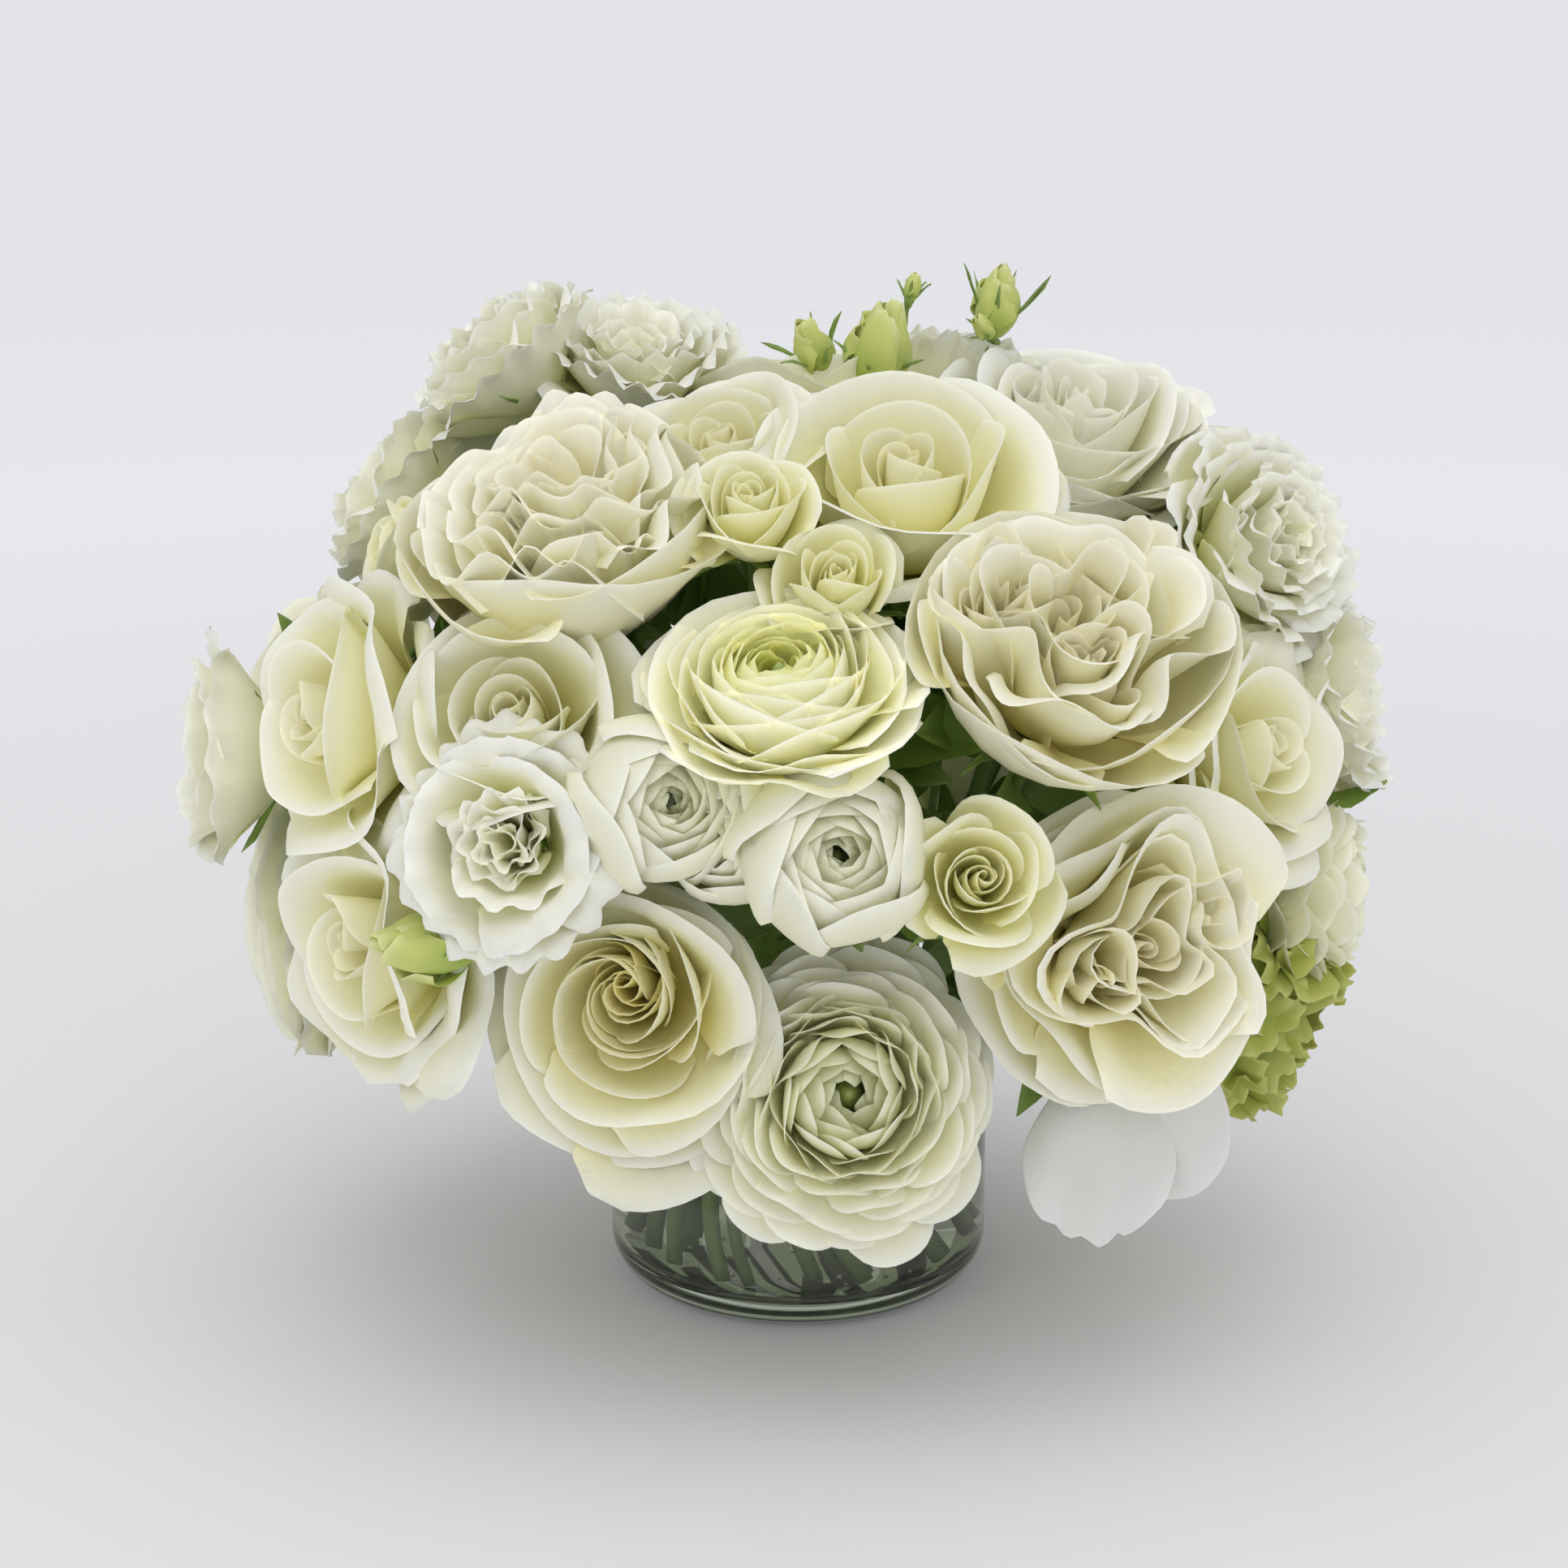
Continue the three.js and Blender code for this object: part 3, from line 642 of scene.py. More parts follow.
def fringe(columns, depth, rng):
    """Uneven little teeth for the edge of a petal."""
    teeth = 1.3 * rng.random(columns) ** 2
    slow = np.interp(np.linspace(0, 1, columns), np.linspace(0, 1, 6), rng.uniform(-0.5, 0.5, 6))
    return depth * (teeth + slow)


def try_out(recipe):
    """Prints what a flower of 60 mm is made of. It is thrown away, so it changes nothing."""
    pile = Pile()
    recipe(pile, 30, 40, np.random.default_rng(0))
    print(recipe.__name__, "sheets and tubes:", len(pile.points), "triangles:", pile.triangles())


print("bearings of five petals in a row:", [round(k * GOLDEN_ANGLE % 360) for k in range(5)])

# %% [markdown]
# ## Rose
# A rose is one spiral: upright heart petals wrapped almost round the axis, a cup, and guard petals
# that lie back with their lips rolled over. Four tables cover the stages that one bunch shows, from
# a tight swirl to a blown flower with its big petals fallen back.

# %% Rose
SUNK = 0.46                # petals start this far under a flower's middle, as a share of its depth
ROSES = {
    "classic": {
        0.0: (0.05, 0.98, 6, 0.20, 0.03, 0, 0.0),
        0.3: (0.20, 1.04, 14, 0.38, 0.06, 8, 0.01),
        0.55: (0.42, 1.06, 20, 0.56, 0.10, 22, 0.02),
        0.75: (0.70, 0.98, 18, 0.78, 0.13, 44, 0.03),
        1.0: (0.98, 0.60, 8, 0.92, 0.15, 56, 0.04)},
    "swirl": {
        0.0: (0.04, 0.96, 4, 0.30, 0.02, 0, 0.0),
        0.3: (0.26, 1.04, 16, 0.44, 0.06, 4, 0.0),
        0.64: (0.52, 1.04, 26, 0.58, 0.12, 10, 0.008),
        0.72: (0.72, 0.90, 22, 0.90, 0.14, 48, 0.02),
        1.0: (1.06, 0.34, 14, 1.05, 0.16, 64, 0.03)},
    "cup": {
        0.0: (0.05, 0.94, 6, 0.26, 0.03, 0, 0.01),
        0.25: (0.20, 1.0, 16, 0.42, 0.05, 8, 0.01),
        0.45: (0.42, 1.0, 24, 0.66, 0.09, 12, 0.015),
        0.62: (0.60, 1.06, 28, 0.86, 0.12, 24, 0.02),
        0.82: (0.82, 1.02, 28, 1.04, 0.15, 54, 0.03),
        1.0: (1.0, 0.78, 20, 1.06, 0.16, 70, 0.04)},
    "blown": {
        0.0: (0.04, 0.90, 4, 0.18, 0.03, 0, 0.0),
        0.35: (0.22, 0.98, 12, 0.36, 0.06, 14, 0.02),
        0.5: (0.50, 1.04, 16, 0.70, 0.10, 34, 0.05),
        0.75: (0.84, 0.94, 8, 0.92, 0.14, 62, 0.07),
        1.0: (1.08, 0.50, -4, 1.0, 0.16, 70, 0.08)}}


def rose(pile, half, deep, rng, petals=24, stage="classic", heart=(0.0, 0.0), sag=0.1, fine=1.0):
    ring(pile, half, rng, petals, ROSES[stage], floor=-SUNK * deep, heart=heart, sag=sag, fine=fine,
         spiral=0.10 if stage == "swirl" else 0.06,
         grid=(13, 19) if stage in ("cup", "blown") else (13, 17))


try_out(rose)

# %% [markdown]
# ## Garden rose
# An old garden rose is quartered: up to three little hearts share one cup, ribbons of petals fold
# round them, and smooth guard petals lie beneath. The ribbons are a rumpled ring that bulges where
# the hearts are.

# %% Garden rose
TUFT_PETALS = 6            # small petals in the gap between the hearts
CORES_APART = 0.27         # a heart's way from the middle, as a share of the half width
CORE_TILT = 10             # degrees that a heart leans out
FOLD_SINK = 0.12           # how far folds dip, as a share of the half width
CORE = {
    0.0: (0.03, 1.10, 4, 0.18, 0.02, 0, 0.0),
    1.0: (0.28, 1.18, 14, 0.40, 0.06, 18, 0.02)}
RIBBONS = {
    "folded": {
        0.0: (0.34, 1.20, 18, 0.56, 0.12, 18, 0.03),
        0.6: (0.60, 1.14, 20, 0.74, 0.16, 34, 0.04),
        1.0: (0.82, 0.98, 16, 0.82, 0.16, 48, 0.05)},
    "waved": {
        0.0: (0.26, 1.10, 16, 0.66, 0.10, 24, 0.03),
        0.6: (0.60, 1.08, 18, 1.10, 0.15, 40, 0.05),
        1.0: (0.92, 0.86, 12, 1.2, 0.16, 60, 0.07)},
    "tufted": {
        0.0: (0.20, 1.28, 14, 0.38, 0.08, 22, 0.04),
        0.5: (0.46, 1.26, 18, 0.48, 0.12, 44, 0.065),
        1.0: (0.76, 1.12, 20, 0.60, 0.15, 54, 0.08)}}
GUARDS = {
    "low": {
        0.0: (0.90, 0.80, 16, 0.88, 0.15, 34, 0.03),
        1.0: (1.08, 0.44, 16, 0.96, 0.16, 56, 0.04)},
    "tall": {
        0.0: (0.84, 0.98, 28, 0.92, 0.15, 30, 0.03),
        1.0: (0.96, 0.82, 32, 1.00, 0.16, 44, 0.03)},
    "wrap": {
        0.0: (0.84, 1.00, 36, 1.20, 0.15, 6, 0.015),
        1.0: (0.95, 0.94, 40, 1.26, 0.16, 16, 0.025)}}


def garden_rose(pile, half, deep, rng, cores=2, core_petals=7, core_ruffle=1.0, ribbons=14,
                guards=8, turn=0.0, lobes=None, pinch=0.32, twist=0.6, heart=(0.0, 0.0),
                folds="folded", waves=(1.0, 2.3), outer="low", sag=0.1, fine=1.0):
    floor = -SUNK * deep
    tuft = {key: (rim, height - 0.14, *row) for key, (rim, height, *row) in CORE.items()}
    ring(pile, half, rng, TUFT_PETALS, tuft, floor=floor, heart=heart, spiral=0.08, fine=fine)
    for k in range(cores):
        bearing = math.radians(turn + 360 * k / cores + rng.uniform(-8, 8))
        step, lean = CORES_APART * half * (cores > 1), math.radians(CORE_TILT * (cores > 1))
        tilt = Matrix.Rotation(lean, 3, (-math.sin(bearing), math.cos(bearing), 0))
        petals = Pile()
        ring(petals, half, rng, core_petals, CORE, floor=0, spiral=0.08, wobble=0.05 * core_ruffle,
             rumpled={"lobes": 3, "pinch": 0.2 * core_ruffle, "turn": rng.uniform(0, 360)}, fine=fine)
        petals.place(np.array(tilt), np.array([heart[0] * half + step * math.cos(bearing),
                                               heart[1] * half + step * math.sin(bearing), floor]))
        pile.join(petals)
    bends = {"lobes": lobes or cores, "pinch": pinch, "sink": FOLD_SINK, "turn": turn, "twist": twist}
    ring(pile, half, rng, ribbons, RIBBONS[folds], floor=floor, heart=heart, rumpled=bends, spiral=0.08,
         grid=(12, 25), waves=waves, crimp=2.0, wobble=0.05, round_top=0.32, fine=fine)
    ring(pile, half, rng, guards, GUARDS[outer], floor=floor, sag=sag, fine=fine,
         rumpled={**bends, "pinch": 0.3 * pinch, "sink": 0.3 * FOLD_SINK},
         open_sides=0.1 if outer == "wrap" else 0.36)


try_out(garden_rose)

# %% [markdown]
# ## Ranunculus
# A ranunculus is a ball of many thin scales. Young ones close over a green eye like a ball of
# ribbon, open ones show a bowl of fine rims, and the oldest lay their scales back like shingles.

# %% Ranunculus
RANUNCULI = {
    "bowl": {
        0.0: (0.04, 0.74, 50, 0.16, 0.05, 0, 0.0),
        0.12: (0.14, 0.84, 50, 0.30, 0.07, 0, 0.004),
        0.42: (0.34, 0.92, 44, 0.58, 0.10, 0, 0.008),
        0.70: (0.62, 0.92, 36, 0.86, 0.14, 6, 0.014),
        0.88: (0.94, 0.76, 26, 0.98, 0.18, 18, 0.035),
        1.0: (1.08, 0.52, 10, 0.98, 0.18, 30, 0.06)},
    "ball": {
        0.0: (0.05, 0.98, 50, 0.20, 0.05, 0, 0.0),
        0.3: (0.16, 1.08, 56, 0.36, 0.10, 0, 0.006),
        0.7: (0.40, 1.16, 66, 0.64, 0.20, 0, 0.012),
        1.0: (0.60, 1.12, 78, 0.90, 0.30, 4, 0.02)},
    "shingle": {
        0.0: (0.05, 0.78, 50, 0.14, 0.05, 0, 0.0),
        0.14: (0.20, 0.92, 46, 0.21, 0.07, 0, 0.006),
        0.3: (0.38, 0.96, 34, 0.26, 0.10, 8, 0.008),
        0.55: (0.66, 0.86, 22, 0.31, 0.14, 18, 0.012),
        0.85: (0.94, 0.56, 8, 0.35, 0.16, 26, 0.014),
        1.0: (1.08, 0.34, -2, 0.40, 0.16, 30, 0.02)}}


def ranunculus(pile, half, deep, rng, petals=60, stage="ball", heart=(0.0, 0.0), sag=0.0, fine=1.0):
    ring(pile, half, rng, petals, RANUNCULI[stage], floor=-SUNK * deep, heart=heart, sag=sag,
         spiral=0.03, round_top=0.42 if stage == "shingle" else 0.36,
         grid=(10, 13) if stage == "ball" else (9, 13), wobble=0.035, jitter=1.1, thick=0.3,
         fine=fine)
    heights = (0.02, 0.28, 0.46, 0.56, 0.60)
    eye = [(heart[0] * half, heart[1] * half, (z - SUNK) * deep) for z in heights]
    pile.add_tube(eye, [r * half for r in (0.10, 0.12, 0.09, 0.05, 0.01)], 14, 0.0, 0.3, slot=2)


try_out(ranunculus)

# %% [markdown]
# ## Lisianthus
# A double lisianthus is a deep funnel of large thin petals with fringed, waved edges, pure white at
# the rim and green in the throat. Some open as a ruff: a tuft in the middle and one rolled collar
# round it. Yellow anthers stand round a green pistil.

# %% Lisianthus
ANTHERS = 6
LISIANTHI = {
    "double": {
        0.0: (0.13, 0.86, 4, 0.30, 0.04, 20, 0.05),
        0.35: (0.42, 1.04, 8, 0.56, 0.08, 34, 0.06),
        0.7: (0.74, 1.06, 18, 0.84, 0.12, 48, 0.06),
        1.0: (1.0, 0.86, 24, 1.0, 0.14, 58, 0.06)},
    "ruff": {
        0.0: (0.06, 0.96, 2, 0.34, 0.02, 20, 0.05),
        0.45: (0.42, 1.0, 6, 0.56, 0.08, 24, 0.06),
        0.55: (0.66, 1.04, 20, 0.74, 0.12, 110, 0.04),
        0.76: (0.82, 0.98, 18, 0.80, 0.13, 116, 0.04),
        1.0: (1.0, 0.76, 16, 0.86, 0.14, 100, 0.05)},
    "full": {
        0.0: (0.08, 1.04, 4, 0.30, 0.03, 20, 0.05),
        0.4: (0.42, 1.08, 10, 0.50, 0.08, 40, 0.06),
        0.75: (0.76, 0.94, 18, 0.72, 0.12, 60, 0.055),
        1.0: (1.0, 0.62, 26, 0.96, 0.14, 60, 0.05)},
    "plain": {
        0.0: (0.13, 0.86, 4, 0.30, 0.04, 10, 0.02),
        0.5: (0.55, 1.04, 14, 0.70, 0.10, 20, 0.03),
        1.0: (1.0, 0.86, 24, 1.06, 0.14, 44, 0.03)}}


def lisianthus(pile, half, deep, rng, petals=18, stage="double", teeth=0.028, fine=1.0):
    ring(pile, half, rng, petals, LISIANTHI[stage], floor=-SUNK * deep, fringed=teeth, crimp=6.0,
         waves=(4.0, 7.0), round_top=0.36, grid=(11, 31), thick=0.3, wobble=0.04, fine=fine)
    if stage == "ruff":
        return
    pistil = [(0, 0, z * deep) for z in (-0.5, -0.3, -0.12, -0.02, 0.04)]
    pile.add_tube(pistil, [r * half for r in (0.13, 0.12, 0.06, 0.07, 0.02)], 10, 0.3, 0.6, slot=1)
    for k in range(ANTHERS):
        aside = direction(360 / ANTHERS * k + 10, 0)
        stalk = [aside * half * r + [0, 0, z * deep]
                 for r, z in ((0.1, -0.4), (0.17, -0.2), (0.2, -0.08))]
        pile.add_tube(stalk, [0.4, 0.35, 0.35], 6, 0.3, 0.5, slot=1)
        anther = [stalk[-1] + [0, 0, z] for z in (-0.4, 0.4, 1.6, 2.4)]
        pile.add_tube(anther, [0.2, 0.9, 0.9, 0.2], 8, 0.5, rng.random(), slot=2)


try_out(lisianthus)

# %% [markdown]
# ## Spray rose
# A spray rose is a rose in small, with fewer petals, a pointed heart and long green sepals.

# %% Spray rose
SPRAY_ROSE = {
    0.0: (0.05, 1.20, 6, 0.24, 0.03, 0, 0.0),
    0.45: (0.34, 1.34, 20, 0.48, 0.08, 10, 0.01),
    0.75: (0.66, 1.30, 26, 0.72, 0.14, 34, 0.02),
    1.0: (0.98, 1.0, 22, 0.84, 0.18, 62, 0.03)}


def spray_rose(pile, half, deep, rng, petals=18, fine=1.0):
    ring(pile, half, rng, petals, SPRAY_ROSE, floor=-SUNK * deep, spiral=0.08, grid=(11, 13), fine=fine)


try_out(spray_rose)

# %% [markdown]
# ## Buds
# A lisianthus bud is a pear of overlapping petals with a ruffled tip, held by narrow sepals that
# stand away from it.

# %% Bud
SEPALS, SEPAL_THICK = 5, 0.6
CUP_RADIUS, CUP_HEIGHT = 0.17, 0.16         # of the green cup, as shares of half the width and depth
CUP_LEAST = 1.8                             # its smallest radius in mm
BUD = {
    0.0: (0.06, 2.60, 30, 0.60, 0.30, 0, 0.05),
    0.4: (0.16, 2.50, 38, 0.90, 0.36, 8, 0.09),
    1.0: (0.30, 2.10, 46, 1.05, 0.40, 30, 0.12)}


def bud(pile, half, deep, rng, petals=8, opened=0.0, sepal_length=1.0,
        sepal_lean=(30, 34, 44, 66), fine=1.0):
    shape = {key: (rim + 0.25 * opened * key, *row) for key, (rim, *row) in BUD.items()}
    ring(pile, half, rng, petals, shape, floor=-0.5 * deep, fringed=0.035, spiral=0.16,
         waves=(2.0, 3.4), round_top=0.36, grid=(12, 15), wobble=0.05, fine=fine)
    sepals(pile, half, deep, rng, length=sepal_length * deep, width=0.11 * half + 0.5, lean=sepal_lean)


def sepals(pile, half, deep, rng, length, width, lean):
    """Green cup under a flower with its pointed sepals, in the second material slot."""
    radius = max(CUP_RADIUS * half, CUP_LEAST)
    heights = (-0.5 * deep - 2.5, -0.5 * deep - 1, -0.5 * deep + 0.3 * CUP_HEIGHT * deep,
               -0.5 * deep + CUP_HEIGHT * deep)
    pile.add_tube([(0, 0, z) for z in heights], [radius * r for r in (0.55, 0.8, 1, 0.7)], 12, 0.2,
                  rng.random(), slot=1)
    for i in range(SEPALS):
        grid = petal(
            length * rng.uniform(0.85, 1.1), width, lean, base=radius * 0.8, foot=0.75, widest=0.3,
            taper=0.8, round_top=0.3, wrap=0.5, point=0.12, side_roll=-20, wobble=0.04 * length,
            rows=9, columns=5, rng=rng)
        grid = turned(grid, 360 / SEPALS * i + rng.uniform(-10, 10), tip=rng.uniform(-5, 5),
                      swing=rng.uniform(-7, 7))
        grid = grid + [0, 0, -0.5 * deep + 0.1 * CUP_HEIGHT * deep]
        pile.add_sheet(grid, SEPAL_THICK, 0.8, rng.random(), slot=1)


try_out(bud)

# %% [markdown]
# ## Hydrangea
# A lime hydrangea head is a dome of small florets. What looks like petals are four serrated bracts
# round a tiny bud. One floret is easy, so the head repeats it on a sunflower spiral.

# %% Hydrangea
FLORETS, BRACTS = 17, 4
BRACT_ROWS, BRACT_COLUMNS = 8, 15
BRACT_LEAN, BRACT_TEETH = (58, 66, 62, 84), 0.09


def hydrangea(pile, half, deep, rng):
    for i in range(FLORETS):
        share = (i + 0.5) / FLORETS
        polar = math.radians(10 + 92 * math.sqrt(share))
        bearing = math.radians(i * GOLDEN_ANGLE)
        flat = math.sin(polar)
        normal = np.array([flat * math.cos(bearing), flat * math.sin(bearing), math.cos(polar)])
        spot = normal * [half * 0.86, half * 0.86, deep * 0.4] + [0, 0, -0.02 * deep]
        floret = Pile()
        size = half * rng.uniform(0.56, 0.72)
        for k in range(BRACTS):
            grid = petal(
                size, size * 0.56, BRACT_LEAN, base=size * 0.06, widest=0.6, round_top=0.30,
                wrap=0.25, ruffle=0.10 * size, crimp=4.0, phase=rng.uniform(0, 6),
                spiral=0.06 * size, frill=fringe(BRACT_COLUMNS, BRACT_TEETH, rng),
                wobble=0.1 * size, rows=BRACT_ROWS, columns=BRACT_COLUMNS, rng=rng)
            grid = turned(grid, 360 / BRACTS * k + rng.uniform(-8, 8), rng.uniform(-14, 14))
            floret.add_sheet(grid, 0.4, share, rng.random())
        floret.add_tube([(0, 0, z * size) for z in (-0.04, 0.06, 0.12)],
                        [r * size for r in (0.05, 0.07, 0.02)], 8, share, 0.2)
        floret.add_tube([(0, 0, 0), (0, 0, -0.5 * size)], [0.9, 0.8], 6, slot=1)
        floret.place(axes_for(unit(normal + [0, 0, 0.2]), rng.uniform(0, 90)), spot)
        pile.join(floret)


try_out(hydrangea)

# %% [markdown]
# ## Surface effects shared by the materials
# Petals pale towards the rim, warm and green towards the foot, and carry fine veins along the blade.
# The foot and heart colours are partly the petals' own cream and green and partly painted shade,
# yellower and darker for the hollows deep in a flower.
# Leaves and stems have veins and mottling too, in other colours. So the effect is one node group with
# named inputs, and each material sets its own colours. Constant numbers for the shader, such as its
# subsurface weight, stay on the shader itself.

# %% Growth tint, a group for everything that grows
TINT_INPUTS = {
    "Foot Color": (0.6, 0.56, 0.28, 1), "Body Color": (0.8, 0.78, 0.6, 1),
    "Rim Color": (0.9, 0.9, 0.84, 1), "Heart Color": (0.7, 0.66, 0.4, 1), "Foot Reach": 0.5,
    "Rim Reach": 0.3, "Heart Amount": 0.5, "Vein Count": 9.0, "Vein Depth": 0.5,
    "Tone Spread": 0.06}
TINT_OUTPUTS = ("Color", "Height", "Roughness")
VEIN_STRETCH = 1.4         # noise along the blade, against the vein count across it
VEIN_CHANGE = 40.0         # how far apart in the noise two petals of unlike tone are
TONE_WEIGHT, VEIN_WEIGHT = 1.2, 0.9         # of a petal's tone and of its veins in the shade
ROUGHNESS_LEAST, ROUGHNESS_MOTTLE = 0.46, 0.2


def growth_tint_group():
    """The colours from foot to rim and heart, darker and lighter by tone, mottle and veins."""
    group = bpy.data.node_groups.new("growth_tint", "ShaderNodeTree")

    def socket(name, way):
        kind = "NodeSocketColor" if "Color" in name else "NodeSocketFloat"
        return group.interface.new_socket(name=name, in_out=way, socket_type=kind)

    for name, value in TINT_INPUTS.items():
        socket(name, "INPUT").default_value = value
    for name in TINT_OUTPUTS:
        socket(name, "OUTPUT")
    start = group.nodes.new("NodeGroupInput").outputs
    end = group.nodes.new("NodeGroupOutput")
    blade, across, layer, tone = (
        add_node(group, "ShaderNodeAttribute", attribute_name=name).outputs["Fac"] for name in MARKS)

    def add(a, b):
        return math_node(group, "ADD", a, b)

    def less(a, b):
        return math_node(group, "SUBTRACT", a, b)

    def times(a, b):
        return math_node(group, "MULTIPLY", a, b)

    # Foot and heart colours: partly the petals' own colour, partly painted shade deep in the flower.
    foot = smooth_between(group, blade, 0.1, start["Foot Reach"])
    rim = smooth_between(group, blade, less(1.0, start["Rim Reach"]), 1.0)
    heart = times(math_node(group, "POWER", less(1.0, layer), 3.0), start["Heart Amount"])
    colour = mix_node(group, foot, start["Foot Color"], start["Body Color"])
    colour = mix_node(group, rim, colour, start["Rim Color"])
    colour = mix_node(group, heart, colour, start["Heart Color"])
    # Veins run along the blade: noise squeezed across it and stretched along it.
    place = add_node(group, "ShaderNodeCombineXYZ", {
        "X": times(across, start["Vein Count"]), "Y": times(blade, VEIN_STRETCH),
        "Z": times(tone, VEIN_CHANGE)}).outputs[0]
    veins = add_node(group, "ShaderNodeTexNoise", {
        "Vector": place, "Scale": 1.6, "Detail": 3.0, "Roughness": 0.6}).outputs["Fac"]
    spot = add_node(group, "ShaderNodeTexCoord").outputs["Object"]
    mottle = add_node(group, "ShaderNodeTexNoise", {
        "Vector": spot, "Scale": 90.0, "Detail": 4.0}).outputs["Fac"]
    drift = add(add(times(less(tone, 0.5), TONE_WEIGHT), less(mottle, 0.5)),
                times(less(veins, 0.5), VEIN_WEIGHT))
    gain = add(1.0, times(drift, start["Tone Spread"]))
    shade = add_node(group, "ShaderNodeCombineColor", {0: gain, 1: gain, 2: gain}).outputs[0]
    set_inputs(group, end, {
        "Color": mix_node(group, 1.0, colour, shade, "MULTIPLY"),
        "Height": add(times(veins, start["Vein Depth"]), times(mottle, 0.25)),
        "Roughness": add(ROUGHNESS_LEAST, times(mottle, ROUGHNESS_MOTTLE))})
    return group


GROWTH = growth_tint_group()
print("growth_tint nodes:", len(GROWTH.nodes))


# %% Materials of flowers and foliage
RELIEF = 0.0004            # metres that a full bump stands up


def growing_material(name, colours, amounts, *, vein_depth=0.5, tone_spread=0.06, see_through=0.4,
                     glow=(0.0012, 0.0011, 0.0008), bump=0.25, sheen=0.08, shine=0.35):
    """A petal or leaf: growth_tint feeds colour, roughness and bump, and the shader keeps the rest."""
    material, tree, shader = new_material(name)
    values = (*[(*colour, 1) for colour in colours], *amounts, vein_depth, tone_spread)
    tint = add_node(tree, "ShaderNodeGroup", dict(zip(TINT_INPUTS, values)), node_tree=GROWTH)
    relief = add_node(tree, "ShaderNodeBump", {
        "Strength": bump, "Distance": RELIEF, "Height": tint.outputs["Height"]})
    shader.subsurface_method = "BURLEY"        # light soaks from one face of a thin petal to the other
    set_inputs(tree, shader, {
        "Subsurface Weight": see_through, "Subsurface Radius": glow, "Subsurface Scale": 1.0,
        "Sheen Weight": sheen, "Specular IOR Level": shine, "Base Color": tint.outputs["Color"],
        "Roughness": tint.outputs["Roughness"], "Normal": relief.outputs["Normal"]})
    return material


